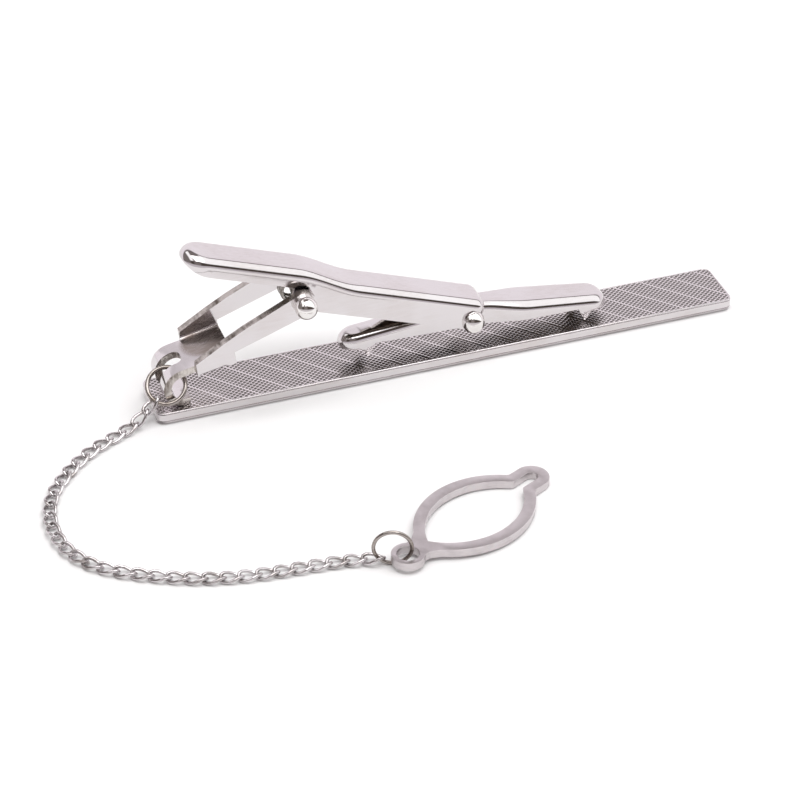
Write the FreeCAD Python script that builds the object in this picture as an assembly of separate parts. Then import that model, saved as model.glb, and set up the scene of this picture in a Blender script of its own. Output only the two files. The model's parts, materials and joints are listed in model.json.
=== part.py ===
import FreeCAD, Part
import math
import os
from FreeCAD import Vector

# Tie clip: a hatched bar, a spring lever with a rocking jaw, and a chain with a button loop.
# Millimetres. The origin is the middle of the bar's show face, which lies on the table.
# +X runs along the bar towards its free end, +Z points up out of the bar's back.

# Bar
BAR_LENGTH = 60.0
BAR_WIDTH = 6.2
BAR_THICKNESS = 1.36
BAR_CORNER_RADIUS = 0.5
BAR_BEVEL_HEIGHT = 0.4
BAR_BEVEL_INSET = 0.2
BAR_RIM_RADIUS = 0.12

# Bracket, folded from one strip: foot, U-bend, web and two arms
BRACKET_SHEET = 0.75
NECK_RADIUS = 2.03
BEND_INSET = 2.95
FOOT_LENGTH = 0.5
NECK_WIDTH = 4.7
SLOT_WIDTH = 1.9
SLOT_REACH = 0.3
SLOT_HEIGHT = 0.7
WEB_SLOPE = 12.0
WEB_LENGTH = 4.8
ARM_GAP = 5.1
ARM_START = 1.0
ARM_HEEL_HEIGHT = 1.5
ARM_KNEE = (3.75, 4.75)
ARM_SHOULDER = (5.9, 5.98)
ARM_STEP_HEIGHT = 1.3
ARM_LUG_RADIUS = 1.25
ARM_CORNER_RADIUS = 0.45
FOLD_RADIUS = 0.4

# Lever pin, with a ball head outside each arm
PIVOT_REACH = 11.8
PIVOT_HEIGHT = 9.49
PIN_RADIUS = 0.55
PIN_BALL_RADIUS = 1.0
PIN_BALL_STANDOFF = 0.62
SEAT_CLEARANCE = 0.02
RUNNING_CLEARANCE = 0.05

# Lever, a channel that opens downwards; lengths run along it from the lever pin
LEVER_SLOPE = 19.7
LEVER_WIDTH = 4.34
LEVER_SHEET = 0.42
TAIL_LENGTH = 12.3
TAIL_TOP = 2.75
TAIL_WALL_LOW = 1.02
STEP_START = -0.6
STEP_LENGTH = 6.6
HEAD_TOP = 1.84
HEAD_OVERHANG = 0.85
EAR_RADIUS = 1.0
FLANGE_START = 2.3
FLANGE_DEPTH = 1.26
LEVER_EDGE_RADIUS = 1.0
NOSE_RUN = 2.8
NOSE_RISE = 1.05
HEAD_CORNER_RADIUS = 1.4

# Jaw, a channel that opens downwards and rocks on its rivet inside the lever
JAW_PIN_REACH = 18.75
JAW_PIN_DROP = 0.3
JAW_PIN_RADIUS = 0.55
RIVET_HEAD_RADIUS = 1.05
RIVET_HEAD_HEIGHT = 0.7
JAW_EAR_RADIUS = 1.15
JAW_TILT = 1.2
JAW_REACH = 13.95
JAW_SHIFT = 0.75
JAW_WIDTH = 2.8
JAW_FRONT_WIDTH = 4.14
JAW_END_WIDTH = 3.7
JAW_FLARE_START = 1.7
JAW_FLARE_END = 5.6
JAW_FLARE_RADIUS = 8.0
JAW_SHEET = 0.4
JAW_APEX = 1.43
JAW_ROOF_SLOPE = 6.8
JAW_APEX_RADIUS = 20.0
JAW_LOW = 1.0
JAW_NOSE_LOW = 1.42
JAW_NOSE_RADIUS = 0.45
JAW_EDGE_RADIUS = 0.7
JAW_EDGE_WALL_SHARE = 1.09
TOOTH_REACH = 11.3
TOOTH_WIDTH = 1.5
TOOTH_TIP = 2.4
TOOTH_TIP_RADIUS = 0.2

# Torsion spring on the lever pin
SPRING_WIRE = 0.4
SPRING_RADIUS = 1.35
SPRING_PITCH = 0.87
SPRING_TURNS = 2
SPRING_SEAT_GAP = 0.05
LEVER_LEG_LENGTH = 6.0
BRACKET_LEG_SLOPE = 15.0
BRACKET_LEG_LEAD = 1.6
BRACKET_LEG_CROSSING = 2.7
BRACKET_LEG_RUN = 5.4
BRACKET_LEG_SIDE_GAP = 0.12
BRACKET_LEG_SEAT = 1.4
BRACKET_LEG_CORNER = 1.0

# Chain of twisted links with a jump ring at each end
EYE_RING_DIAMETER = 4.1
EYE_RING_WIRE = 0.44
EYE_RING_OFFSET = (-1.55, -1.35, 1.99)
EYE_RING_FACING = (-0.2, -0.6, 0.775)
LOOP_RING_DIAMETER = 3.8
LOOP_RING_WIRE = 0.36
LINK_PITCH = 1.58
LINK_WIRE = 0.36
LINK_PLAY = 0.12
LINK_WIDTH = 1.5
LINK_TWIST = -45.0
LINK_END_POWER = 0.7
LINK_STEPS = 14
LINK_SIDES = 6
RING_PLAY = 0.1
TABLE_GAP = 0.01
EYE_GRIP_ANGLE = 32.0
LOOP_GRIP_ANGLE = 50.0
# Points that the chain passes: along X from the bar's end, along Y, and above a lying link's middle
CHAIN_ROUTE = [
    (-1.0, -2.3, 1.0), (-2.2, -2.75, 0.2), (-3.8, -3.5, 0), (-7.2, -5.3, 0), (-10.2, -8.0, 0),
    (-12.3, -10.95, 0), (-13.3, -14.7, 0), (-12.85, -18.8, 0), (-11.0, -21.85, 0), (-7.5, -24.4, 0),
    (-2.7, -26.7, 0), (2.45, -27.9, 0), (7.9, -28.4, 0), (11.2, -28.85, 0),
]

# Button loop, a flat stamping that lies on the table
LOOP_SHEET = 0.8
LOOP_TURN = 26.5
LOOP_TAB_PLACE = (15.47, -30.46, 0)
LOOP_RING_TURN = -19.45
LOOP_NECK_HALF_WIDTH = 1.2
LOOP_TAB_RADIUS = 1.55
LOOP_HOLE_RADIUS = 1.05
LOOP_TAB_LIFT = 0.45
LENS_START = 1.4
LENS_LENGTH = 14.7
LENS_HALF_WIDTH = 4.7
LENS_BAND = 1.15
NUB_END = 18.15
NUB_RADIUS = 1.65
NUB_SLOT_RADIUS = 0.6

# Places that follow from the sizes
BAR_END = -BAR_LENGTH / 2
BEND_X = BAR_END + BEND_INSET
BEND_Z = BAR_THICKNESS + NECK_RADIUS
PIVOT = Vector(BEND_X + PIVOT_REACH, 0, BAR_THICKNESS + PIVOT_HEIGHT)
ARM_OUTSIDE = ARM_GAP / 2 + BRACKET_SHEET
Y_AXIS = Vector(0, 1, 0)
Z_AXIS = Vector(0, 0, 1)


def polar(angle, radius):
    """Point in the XZ plane at an angle in degrees from +X towards +Z."""
    turn = math.radians(angle)
    return Vector(radius * math.cos(turn), 0, radius * math.sin(turn))


def rounded_edges(corners):
    """Edges of a closed outline in the XZ plane; each corner is x, z and its rounding radius."""
    points = [Vector(x, 0, z) for x, z, radius in corners]
    spans = []
    for index, (x, z, radius) in enumerate(corners):
        point = points[index]
        before = (points[index - 1] - point).normalize()
        after = (points[(index + 1) % len(points)] - point).normalize()
        half = before.getAngle(after) / 2
        reach = radius / math.tan(half)
        middle = point + (before + after).normalize() * (radius / math.sin(half) - radius)
        spans.append((point + before * reach, middle, point + after * reach, radius))
    edges = []
    for index, (start, middle, end, radius) in enumerate(spans):
        if radius > 0:
            edges.append(Part.Arc(start, middle, end).toShape())
        following = spans[(index + 1) % len(spans)][0]
        if (following - end).Length > 1e-6:
            edges.append(Part.LineSegment(end, following).toShape())
    return edges


def plate(corners, low_y, high_y):
    """Flat plate with a rounded outline in the XZ plane, between two values of y."""
    face = Part.Face(Part.Wire(Part.__sortEdges__(rounded_edges(corners))))
    face.translate(Vector(0, low_y, 0))
    return face.extrude(Vector(0, high_y - low_y, 0))


def cross_pin(centre, radius, half_length):
    """Cylinder along Y, centred on a point of the XZ plane."""
    start = Vector(centre.x, -half_length, centre.z)
    return Part.makeCylinder(radius, 2 * half_length, start, Y_AXIS)


def tangent_point(outside, centre, radius, side):
    """Where the tangent from an outside point touches a circle; side 1 is to the left of the way there."""
    gap = centre - outside
    heading = math.atan2(gap.z, gap.x)
    touch = math.acos(radius / gap.Length)
    return centre + polar(math.degrees(heading + side * (math.pi - touch)), radius)


def edges_at(shape, test):
    """Edges of a shape whose ends and middle all pass a test."""
    chosen = []
    for edge in shape.Edges:
        middle = edge.valueAt((edge.FirstParameter + edge.LastParameter) / 2)
        points = [vertex.Point for vertex in edge.Vertexes] + [middle]
        if all(test(point) for point in points):
            chosen.append(edge)
    return chosen


def bar_plan(inset, z):
    """Rounded rectangle of the bar's outline, drawn in by an inset, at a height."""
    x = BAR_LENGTH / 2 - inset
    y = BAR_WIDTH / 2 - inset
    radius = BAR_CORNER_RADIUS
    corners = [(-x, -y, radius), (x, -y, radius), (x, y, radius), (-x, y, radius)]
    wire = Part.Wire(Part.__sortEdges__(rounded_edges(corners)))
    wire.rotate(Vector(0, 0, 0), Vector(1, 0, 0), -90)
    wire.translate(Vector(0, 0, z))
    return wire


def make_tie_bar():
    """Bar with a bevel round its show face and a softened rim round its back."""
    bevel = Part.makeLoft([bar_plan(BAR_BEVEL_INSET, 0), bar_plan(0, BAR_BEVEL_HEIGHT)], True, True)
    upper = Part.Face(bar_plan(0, BAR_BEVEL_HEIGHT)).extrude(Z_AXIS * (BAR_THICKNESS - BAR_BEVEL_HEIGHT))
    rim = edges_at(upper, lambda point: point.z > BAR_THICKNESS - 1e-6)
    return bevel.fuse(upper.makeFillet(BAR_RIM_RADIUS, rim)).removeSplitter()


def web_line(distance, depth):
    """Point of the web: distance from the bend's centre along X, depth below the upper face."""
    slope = math.radians(WEB_SLOPE)
    touch = polar(90 + WEB_SLOPE, NECK_RADIUS - depth) + Vector(BEND_X, 0, BEND_Z)
    x = BEND_X + distance
    return Vector(x, 0, touch.z + (x - touch.x) * math.tan(slope))


def make_strip():
    """Side view of the strip: foot on the bar, U-bend, and web rising to the window."""
    centre = Vector(BEND_X, 0, BEND_Z)
    inner = NECK_RADIUS - BRACKET_SHEET
    top = 90 + WEB_SLOPE
    halfway = (top + 270) / 2
    foot = Vector(FOOT_LENGTH, 0, 0)
    bottom_out = centre + polar(270, NECK_RADIUS)
    bottom_in = centre + polar(270, inner)
    top_out = centre + polar(top, NECK_RADIUS)
    top_in = centre + polar(top, inner)
    end_out = web_line(WEB_LENGTH, 0)
    end_in = web_line(WEB_LENGTH, BRACKET_SHEET)
    edges = [
        Part.LineSegment(bottom_out + foot, bottom_out).toShape(),
        Part.Arc(bottom_out, centre + polar(halfway, NECK_RADIUS), top_out).toShape(),
        Part.LineSegment(top_out, end_out).toShape(),
        Part.LineSegment(end_out, end_in).toShape(),
        Part.LineSegment(end_in, top_in).toShape(),
        Part.Arc(top_in, centre + polar(halfway, inner), bottom_in).toShape(),
        Part.LineSegment(bottom_in, bottom_in + foot).toShape(),
        Part.LineSegment(bottom_in + foot, bottom_out + foot).toShape(),
    ]
    return Part.Face(Part.Wire(edges))


def make_arm():
    """One hinge arm, standing on the web's edge on the +Y side."""
    heel = web_line(ARM_START, BRACKET_SHEET)
    toe = web_line(WEB_LENGTH, BRACKET_SHEET)
    heel_top = heel + Z_AXIS * ARM_HEEL_HEIGHT
    knee = Vector(BEND_X + ARM_KNEE[0], 0, BEND_Z + ARM_KNEE[1])
    shoulder = Vector(BEND_X + ARM_SHOULDER[0], 0, BEND_Z + ARM_SHOULDER[1])
    step = toe + Z_AXIS * ARM_STEP_HEIGHT
    upper = tangent_point(shoulder, PIVOT, ARM_LUG_RADIUS, 1)
    lower = tangent_point(step, PIVOT, ARM_LUG_RADIUS, -1)
    radius = ARM_CORNER_RADIUS
    corners = [
        (heel.x, heel.z, 0), (heel_top.x, heel_top.z, radius), (knee.x, knee.z, 0),
        (shoulder.x, shoulder.z, 0), (upper.x, upper.z, 0), (lower.x, lower.z, 0),
        (step.x, step.z, radius), (toe.x, toe.z, 0),
    ]
    arm = plate(corners, ARM_GAP / 2, ARM_OUTSIDE)
    lug = cross_pin(PIVOT, ARM_LUG_RADIUS, ARM_OUTSIDE)
    lug = lug.cut(cross_pin(PIVOT, 2 * ARM_LUG_RADIUS, ARM_GAP / 2))
    outer_side = Part.makeBox(4 * BAR_LENGTH, BAR_LENGTH, 4 * BAR_LENGTH,
                              Vector(-2 * BAR_LENGTH, 0, -2 * BAR_LENGTH))
    return arm.fuse(lug.common(outer_side))


def make_hinge_bracket():
    """Foot, slotted U-bend, web and both arms as one folded strip."""
    side = make_strip()
    neck = side.copy()
    neck.translate(Vector(0, -NECK_WIDTH / 2, 0))
    neck = neck.extrude(Y_AXIS * NECK_WIDTH)
    broad = side.copy()
    broad.translate(Vector(0, -ARM_OUTSIDE, 0))
    broad = broad.extrude(Y_AXIS * 2 * ARM_OUTSIDE)
    reach = 4 * NECK_RADIUS
    web_zone = Part.makeBox(reach, 2 * reach, reach, Vector(BEND_X + ARM_START, -reach, BEND_Z))
    strip = neck.fuse(broad.common(web_zone))
    slot_radius = SLOT_WIDTH / 2
    slot_low = BAR_THICKNESS + SLOT_HEIGHT
    slot_x = BEND_X + SLOT_REACH - slot_radius
    slot = Part.makeBox(reach, SLOT_WIDTH, reach, Vector(slot_x - reach, -slot_radius, slot_low))
    slot = slot.fuse(Part.makeCylinder(slot_radius, reach, Vector(slot_x, 0, BEND_Z)))
    arm = make_arm()
    bracket = strip.cut(slot).fuse([arm, arm.mirror(Vector(0, 0, 0), Y_AXIS)]).removeSplitter()
    heel = web_line(ARM_START, BRACKET_SHEET)
    toe = web_line(WEB_LENGTH, BRACKET_SHEET)
    folds = edges_at(bracket, lambda point: abs(abs(point.y) - ARM_OUTSIDE) < 1e-6
                     and heel.x - 1e-6 < point.x < toe.x + 1e-6
                     and abs(point.z - web_line(point.x - BEND_X, BRACKET_SHEET).z) < 1e-6)
    bracket = bracket.makeFillet(FOLD_RADIUS, folds)
    return bracket.cut(cross_pin(PIVOT, PIN_RADIUS + SEAT_CLEARANCE, 2 * ARM_OUTSIDE))


def make_lever_pin():
    """Hinge pin with a ball head seated on the outside of each arm."""
    pin = cross_pin(PIVOT, PIN_RADIUS, ARM_OUTSIDE + PIN_BALL_STANDOFF)
    inside = cross_pin(PIVOT, 2 * PIN_BALL_RADIUS, ARM_OUTSIDE)
    for side in (-1, 1):
        centre = Vector(PIVOT.x, side * (ARM_OUTSIDE + PIN_BALL_STANDOFF), PIVOT.z)
        pin = pin.fuse(Part.makeSphere(PIN_BALL_RADIUS, centre).cut(inside))
    return pin.removeSplitter()


def step_arcs(start, drop, length):
    """Two equal arcs that lead down a smooth step, level at both ends."""
    half = Vector(length / 2, 0, -drop / 2)
    radius = (half.x ** 2 + half.z ** 2) / drop
    angle = math.asin(half.x / radius) / 2
    bow = Vector(radius * math.sin(angle), 0, -radius * (1 - math.cos(angle)))
    middle = start + half
    end = middle + half
    return [Part.Arc(start, start + bow, middle).toShape(), Part.Arc(middle, end - bow, end).toShape()], end


def lever_side(inset):
    """Edges of the lever's back line from tail to head, drawn in by an inset."""
    tail = Vector(-TAIL_LENGTH + inset, 0, TAIL_TOP - inset)
    step = Vector(STEP_START, 0, TAIL_TOP - inset)
    arcs, step_end = step_arcs(step, TAIL_TOP - HEAD_TOP, STEP_LENGTH)
    head = Vector(JAW_PIN_REACH + HEAD_OVERHANG, 0, HEAD_TOP - inset)
    first = Part.LineSegment(tail, step).toShape()
    last = Part.LineSegment(step_end, head).toShape()
    return [first] + arcs + [last], tail, head


def lever_solid(inset, low_points):
    """Solid under the back line, closed through low points that run from head to tail."""
    edges, tail, head = lever_side(inset)
    stops = [head] + low_points + [tail]
    for start, end in zip(stops, stops[1:]):
        edges.append(Part.LineSegment(start, end).toShape())
    width = LEVER_WIDTH - 2 * inset
    face = Part.Face(Part.Wire(edges))
    face.translate(Vector(0, -width / 2, 0))
    return face.extrude(Y_AXIS * width)


def plan_block(corners, height):
    """Tall block with a rounded outline seen from above; each corner is x, y and its rounding radius."""
    face = Part.Face(Part.Wire(Part.__sortEdges__(rounded_edges(corners))))
    face.rotate(Vector(0, 0, 0), Vector(1, 0, 0), -90)
    face.translate(Vector(0, 0, -height / 2))
    return face.extrude(Z_AXIS * height)


def lever_plan(inset, head, corner):
    """Plan of the lever as a tall block: a round thumb end, and rounded corners where the head ends."""
    half = LEVER_WIDTH / 2 - inset
    tail = inset - TAIL_LENGTH
    return plan_block([(tail, -half, half), (head, -half, corner), (head, half, corner), (tail, half, half)],
                      4 * LEVER_WIDTH)


def nose_relief():
    """Block to cut away below the tail, so that its lower edge curves up to the nose."""
    radius = (NOSE_RUN ** 2 + NOSE_RISE ** 2) / (2 * NOSE_RISE)
    centre = Vector(NOSE_RUN - TAIL_LENGTH, 0, TAIL_WALL_LOW + radius)
    corner = Vector(centre.x - 2 * NOSE_RUN, -LEVER_WIDTH, TAIL_WALL_LOW)
    block = Part.makeBox(2 * NOSE_RUN, 2 * LEVER_WIDTH, radius, corner)
    return block.cut(cross_pin(centre, radius, 2 * LEVER_WIDTH))


def make_lever():
    """Channel with a round tail, a step over the hinge, ears and deep flanges."""
    jaw_pin = Vector(JAW_PIN_REACH, 0, -JAW_PIN_DROP)
    pivot = Vector(0, 0, 0)
    flange = Vector(FLANGE_START, 0, -FLANGE_DEPTH)
    ear_low = tangent_point(flange, pivot, EAR_RADIUS, 1)
    jaw_low = tangent_point(flange, jaw_pin, JAW_EAR_RADIUS, -1)
    ear_side = Vector(-EAR_RADIUS, 0, 0)
    low_points = [
        Vector(JAW_PIN_REACH + HEAD_OVERHANG, 0, -JAW_PIN_DROP), jaw_pin, jaw_low, flange, ear_low, pivot,
        ear_side, Vector(-EAR_RADIUS, 0, TAIL_WALL_LOW), Vector(-TAIL_LENGTH, 0, TAIL_WALL_LOW),
    ]
    outer = lever_solid(0, low_points)
    outer = outer.common(lever_plan(0, JAW_PIN_REACH + HEAD_OVERHANG, HEAD_CORNER_RADIUS))
    rim = edges_at(outer, lambda point: point.z > HEAD_TOP - 1e-6
                   and (abs(point.y) > LEVER_WIDTH / 2 - 1e-6 or point.x < LEVER_WIDTH / 2 - TAIL_LENGTH + 1e-6))
    outer = outer.makeFillet(LEVER_EDGE_RADIUS, rim).cut(nose_relief())
    outer = outer.fuse([cross_pin(pivot, EAR_RADIUS, LEVER_WIDTH / 2),
                        cross_pin(jaw_pin, JAW_EAR_RADIUS, LEVER_WIDTH / 2)])
    deep = 4 * FLANGE_DEPTH
    far = JAW_PIN_REACH + 4 * JAW_EAR_RADIUS
    edges, tail, head = lever_side(LEVER_SHEET)
    hollow = lever_solid(LEVER_SHEET, [Vector(far, 0, head.z), Vector(far, 0, -deep), Vector(tail.x, 0, -deep)])
    lever = outer.cut(hollow.common(lever_plan(LEVER_SHEET, far, 0)))
    lever = lever.cut(cross_pin(pivot, PIN_RADIUS + RUNNING_CLEARANCE, LEVER_WIDTH))
    lever = lever.cut(cross_pin(jaw_pin, JAW_PIN_RADIUS + SEAT_CLEARANCE, LEVER_WIDTH)).removeSplitter()
    return lever_place(lever)


def lever_place(shape):
    """Turn a shape from the lever's own lie to its slope and set it on the lever pin."""
    placed = shape.copy()
    placed.rotate(Vector(0, 0, 0), Y_AXIS, LEVER_SLOPE)
    placed.translate(PIVOT)
    return placed


def jaw_pin_centre():
    """Centre of the jaw's rivet in the part's frame."""
    slope = math.radians(LEVER_SLOPE)
    x = JAW_PIN_REACH * math.cos(slope) - JAW_PIN_DROP * math.sin(slope)
    z = -JAW_PIN_REACH * math.sin(slope) - JAW_PIN_DROP * math.cos(slope)
    return PIVOT + Vector(x, 0, z)


def make_jaw_pin():
    """Rivet with a low domed head on each flange of the lever."""
    centre = jaw_pin_centre()
    seat = LEVER_WIDTH / 2
    pin = cross_pin(centre, JAW_PIN_RADIUS, seat)
    dome = (RIVET_HEAD_RADIUS ** 2 + RIVET_HEAD_HEIGHT ** 2) / (2 * RIVET_HEAD_HEIGHT)
    inside = cross_pin(centre, 2 * dome, seat)
    for side in (-1, 1):
        middle = Vector(centre.x, side * (seat + RIVET_HEAD_HEIGHT - dome), centre.z)
        half = Part.makeCylinder(2 * dome, 2 * dome, Vector(centre.x, side * seat, centre.z), Y_AXIS * side)
        pin = pin.fuse(Part.makeSphere(dome, middle).common(half).cut(inside))
    return pin.removeSplitter()


def jaw_outline(inset):
    """Corners of the jaw's side view about its rivet; with an inset, those of the hollow under its roof."""
    fall = math.tan(math.radians(JAW_ROOF_SLOPE))
    left = JAW_REACH - JAW_SHIFT - inset
    right = JAW_REACH + JAW_SHIFT - inset
    apex = JAW_APEX - inset
    roof = [(-left, apex - left * fall, 0), (0, apex, JAW_APEX_RADIUS), (right, apex - right * fall, 0)]
    if inset:
        deep = -4 * TOOTH_TIP
        return roof + [(right, deep, 0), (-left, deep, 0)]
    half = TOOTH_WIDTH / 2
    low = [(JAW_REACH, -JAW_NOSE_LOW, JAW_NOSE_RADIUS), (TOOTH_REACH + half, -JAW_NOSE_LOW, 0),
           (TOOTH_REACH, -TOOTH_TIP, TOOTH_TIP_RADIUS), (TOOTH_REACH - half, -JAW_LOW, 0)]
    front = [(JAW_SHIFT + x, z, radius) for x, z, radius in low]
    rear = [(JAW_SHIFT - x, z, radius) for x, z, radius in reversed(low)]
    return roof + front + rear


def jaw_plan(inset):
    """Plan of the jaw as a tall block: slim inside the lever, broader in front of it, round at both ends."""
    slim = JAW_WIDTH / 2 - inset
    broad = JAW_FRONT_WIDTH / 2 - inset
    end = JAW_END_WIDTH / 2 - inset
    left = JAW_SHIFT - JAW_REACH + inset
    right = JAW_SHIFT + JAW_REACH - inset
    side = [(left, slim, slim), (JAW_FLARE_START, slim, JAW_FLARE_RADIUS),
            (JAW_FLARE_END, broad, JAW_FLARE_RADIUS), (right, end, 0.9 * end)]
    other = [(x, -y, radius) for x, y, radius in reversed(side)]
    return plan_block(side + other, 8 * TOOTH_TIP)


def make_jaw():
    """Toothed channel that rocks on the rivet and keeps level over the bar."""
    broad = JAW_FRONT_WIDTH / 2
    outline = jaw_outline(0)
    outer = plate(outline, -broad, broad).common(jaw_plan(0))
    roof_end = min(z for x, z, radius in outline[:3])
    end_wall = roof_end + JAW_NOSE_LOW - JAW_NOSE_RADIUS
    rounding = min(JAW_EDGE_RADIUS, JAW_EDGE_WALL_SHARE * end_wall)
    above = edges_at(outer, lambda point: point.z > roof_end - rounding / 4)
    rim = [edge for edge in above if abs(edge.CenterOfMass.y) > rounding / 4]
    outer = outer.makeFillet(rounding, rim)
    inner = broad - JAW_SHEET
    hollow = plate(jaw_outline(JAW_SHEET), -inner, inner).common(jaw_plan(JAW_SHEET))
    jaw = outer.cut(hollow)
    jaw = jaw.cut(cross_pin(Vector(0, 0, 0), JAW_PIN_RADIUS + RUNNING_CLEARANCE, JAW_WIDTH)).removeSplitter()
    jaw.rotate(Vector(0, 0, 0), Y_AXIS, JAW_TILT)
    jaw.translate(jaw_pin_centre())
    return jaw


def biarc(start, start_way, end, end_way):
    """Two tangent arcs from one point and direction to another."""
    gap = end - start
    ways = start_way + end_way
    bend = 2 * (1 - start_way.dot(end_way))
    reach = (-gap.dot(ways) + math.sqrt(gap.dot(ways) ** 2 + bend * gap.dot(gap))) / bend
    first = start + start_way * reach
    second = end - end_way * reach
    joint = (first + second) * 0.5
    arcs = []
    for begin, corner, finish in ((start, first, joint), (joint, second, end)):
        chord = (begin + finish) * 0.5
        half = (finish - begin).Length / 2
        angle = math.acos(half / (corner - begin).Length)
        bow = chord + (corner - chord).normalize() * half * math.tan(angle / 2)
        arcs.append(Part.Arc(begin, bow, finish).toShape())
    return arcs


def bent_run(points, radius):
    """Straight runs through points, with a tangent arc at each inner point."""
    edges = []
    start = points[0]
    for before, point, after in zip(points, points[1:], points[2:]):
        back = (before - point).normalize()
        ahead = (after - point).normalize()
        half = back.getAngle(ahead) / 2
        reach = radius / math.tan(half)
        middle = point + (back + ahead).normalize() * (radius / math.sin(half) - radius)
        edges.append(Part.LineSegment(start, point + back * reach).toShape())
        edges.append(Part.Arc(point + back * reach, middle, point + ahead * reach).toShape())
        start = point + ahead * reach
    edges.append(Part.LineSegment(start, points[-1]).toShape())
    return edges


def make_torsion_spring():
    """One wire: a leg on the web, turns round the lever pin, a leg under the lever's back."""
    tail_room = TAIL_TOP - LEVER_SHEET - SPRING_SEAT_GAP - SPRING_WIRE / 2 - SPRING_RADIUS
    leg_tilt = math.degrees(math.asin(tail_room / LEVER_LEG_LENGTH))
    first_angle = -90 + BRACKET_LEG_SLOPE
    last_angle = 90 - LEVER_SLOPE - leg_tilt + 360 * SPRING_TURNS
    sweep = last_angle - first_angle
    climb = SPRING_PITCH / (2 * math.pi)
    rise = climb * math.radians(sweep)

    def point_at(angle):
        y = -rise / 2 + climb * math.radians(angle - first_angle)
        return PIVOT + polar(angle, SPRING_RADIUS) + Vector(0, y, 0)

    def way_at(angle):
        lean = 0 if angle in (first_angle, last_angle) else climb
        along = polar(angle + 90, SPRING_RADIUS) + Vector(0, lean, 0)
        return along.normalize()

    quarters = math.ceil(sweep / 90)
    stops = [first_angle + sweep * index / quarters for index in range(quarters + 1)]
    turns = []
    for low, high in zip(stops, stops[1:]):
        turns += biarc(point_at(low), way_at(low), point_at(high), way_at(high))
    begin = point_at(first_angle)
    lead = begin - way_at(first_angle) * BRACKET_LEG_LEAD
    side_y = -ARM_GAP / 2 + SPRING_WIRE / 2 + BRACKET_LEG_SIDE_GAP
    slope = polar(180 + BRACKET_LEG_SLOPE, 1)
    along = lead + slope * BRACKET_LEG_CROSSING
    along.y = side_y
    lower = lead + slope * BRACKET_LEG_RUN
    lower.y = side_y
    rest = web_line(WEB_LENGTH - BRACKET_LEG_SEAT, 0) + Z_AXIS * (SPRING_WIRE / 2 + SPRING_SEAT_GAP)
    rest.y = side_y
    leg = bent_run([rest, lower, along, lead, begin], BRACKET_LEG_CORNER)
    end = point_at(last_angle)
    tip = end + way_at(last_angle) * LEVER_LEG_LENGTH
    path = Part.Wire(leg + turns + [Part.LineSegment(end, tip).toShape()])
    heading = (lower - rest).normalize()
    section = Part.Wire(Part.makeCircle(SPRING_WIRE / 2, rest, heading))
    spring = path.makePipeShell([section], True, False)
    print("spring volume over wire section times length",
          spring.Volume / (math.pi * SPRING_WIRE ** 2 / 4 * path.Length))
    print("spring least gap between its own turns", least_gap(path))
    return spring


def least_gap(path):
    """Least gap of the spring wire to itself, measured on points at least half a turn apart."""
    step = SPRING_WIRE / 4
    points = path.discretize(Distance=step)
    apart = math.ceil(math.pi * SPRING_RADIUS / step)
    gaps = [(point - other).Length
            for index, point in enumerate(points) for other in points[index + apart:]]
    return min(gaps) - SPRING_WIRE


def make_eye_ring():
    """Jump ring through the slot, round the bend's front leg."""
    radius = (EYE_RING_DIAMETER - EYE_RING_WIRE) / 2
    return Part.makeTorus(radius, EYE_RING_WIRE / 2, eye_ring_centre(), Vector(*EYE_RING_FACING))


def eye_ring_centre():
    """Centre of the eye ring, set from the bend."""
    return Vector(BEND_X, 0, BAR_THICKNESS) + Vector(*EYE_RING_OFFSET)


def loop_place(shape):
    """Lay a shape from the loop's own lie on the table, with its tab lifted off it."""
    placed = shape.copy()
    placed.translate(Vector(-NUB_END, 0, 0))
    placed.rotate(Vector(0, 0, 0), Y_AXIS, loop_tilt())
    placed.translate(Vector(NUB_END * math.cos(math.radians(loop_tilt())), 0, 0))
    placed.rotate(Vector(0, 0, 0), Z_AXIS, LOOP_TURN)
    placed.translate(Vector(BAR_END, 0, 0) + Vector(*LOOP_TAB_PLACE))
    return placed


def loop_tilt():
    """Tilt of the loop in degrees, from its nub on the table to its lifted tab."""
    return math.degrees(math.asin(LOOP_TAB_LIFT / NUB_END))


def disc(radius, x, y):
    """Disc of the loop's sheet thickness."""
    return Part.makeCylinder(radius, LOOP_SHEET, Vector(x, y, 0))


def lens(half_length, half_width):
    """Pointed oval plate where two equal discs cross, centred on the loop's oval."""
    radius = (half_length ** 2 + half_width ** 2) / (2 * half_width)
    centre = LENS_START + LENS_LENGTH / 2
    return disc(radius, centre, radius - half_width).common(disc(radius, centre, half_width - radius))


def make_button_loop():
    """Flat pointed-oval loop with a tab and hole for the ring and a slotted nub for the button."""
    half_length = LENS_LENGTH / 2
    nub_centre = NUB_END - NUB_RADIUS
    middle = LENS_START + half_length
    nub = Part.makeBox(nub_centre - middle, 2 * NUB_RADIUS, LOOP_SHEET, Vector(middle, -NUB_RADIUS, 0))
    tab = Part.makeBox(middle, 2 * LOOP_NECK_HALF_WIDTH, LOOP_SHEET, Vector(0, -LOOP_NECK_HALF_WIDTH, 0))
    blank = lens(half_length, LENS_HALF_WIDTH)
    blank = blank.fuse([nub, disc(NUB_RADIUS, nub_centre, 0), tab, disc(LOOP_TAB_RADIUS, 0, 0)])
    opening = lens(half_length - LENS_BAND, LENS_HALF_WIDTH - LENS_BAND)
    slot = Part.makeBox(nub_centre - middle, 2 * NUB_SLOT_RADIUS, LOOP_SHEET, Vector(middle, -NUB_SLOT_RADIUS, 0))
    slot = slot.fuse(disc(NUB_SLOT_RADIUS, nub_centre, 0))
    loop = blank.cut([opening, slot, disc(LOOP_HOLE_RADIUS, 0, 0)])
    return loop_place(loop.removeSplitter())


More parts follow.
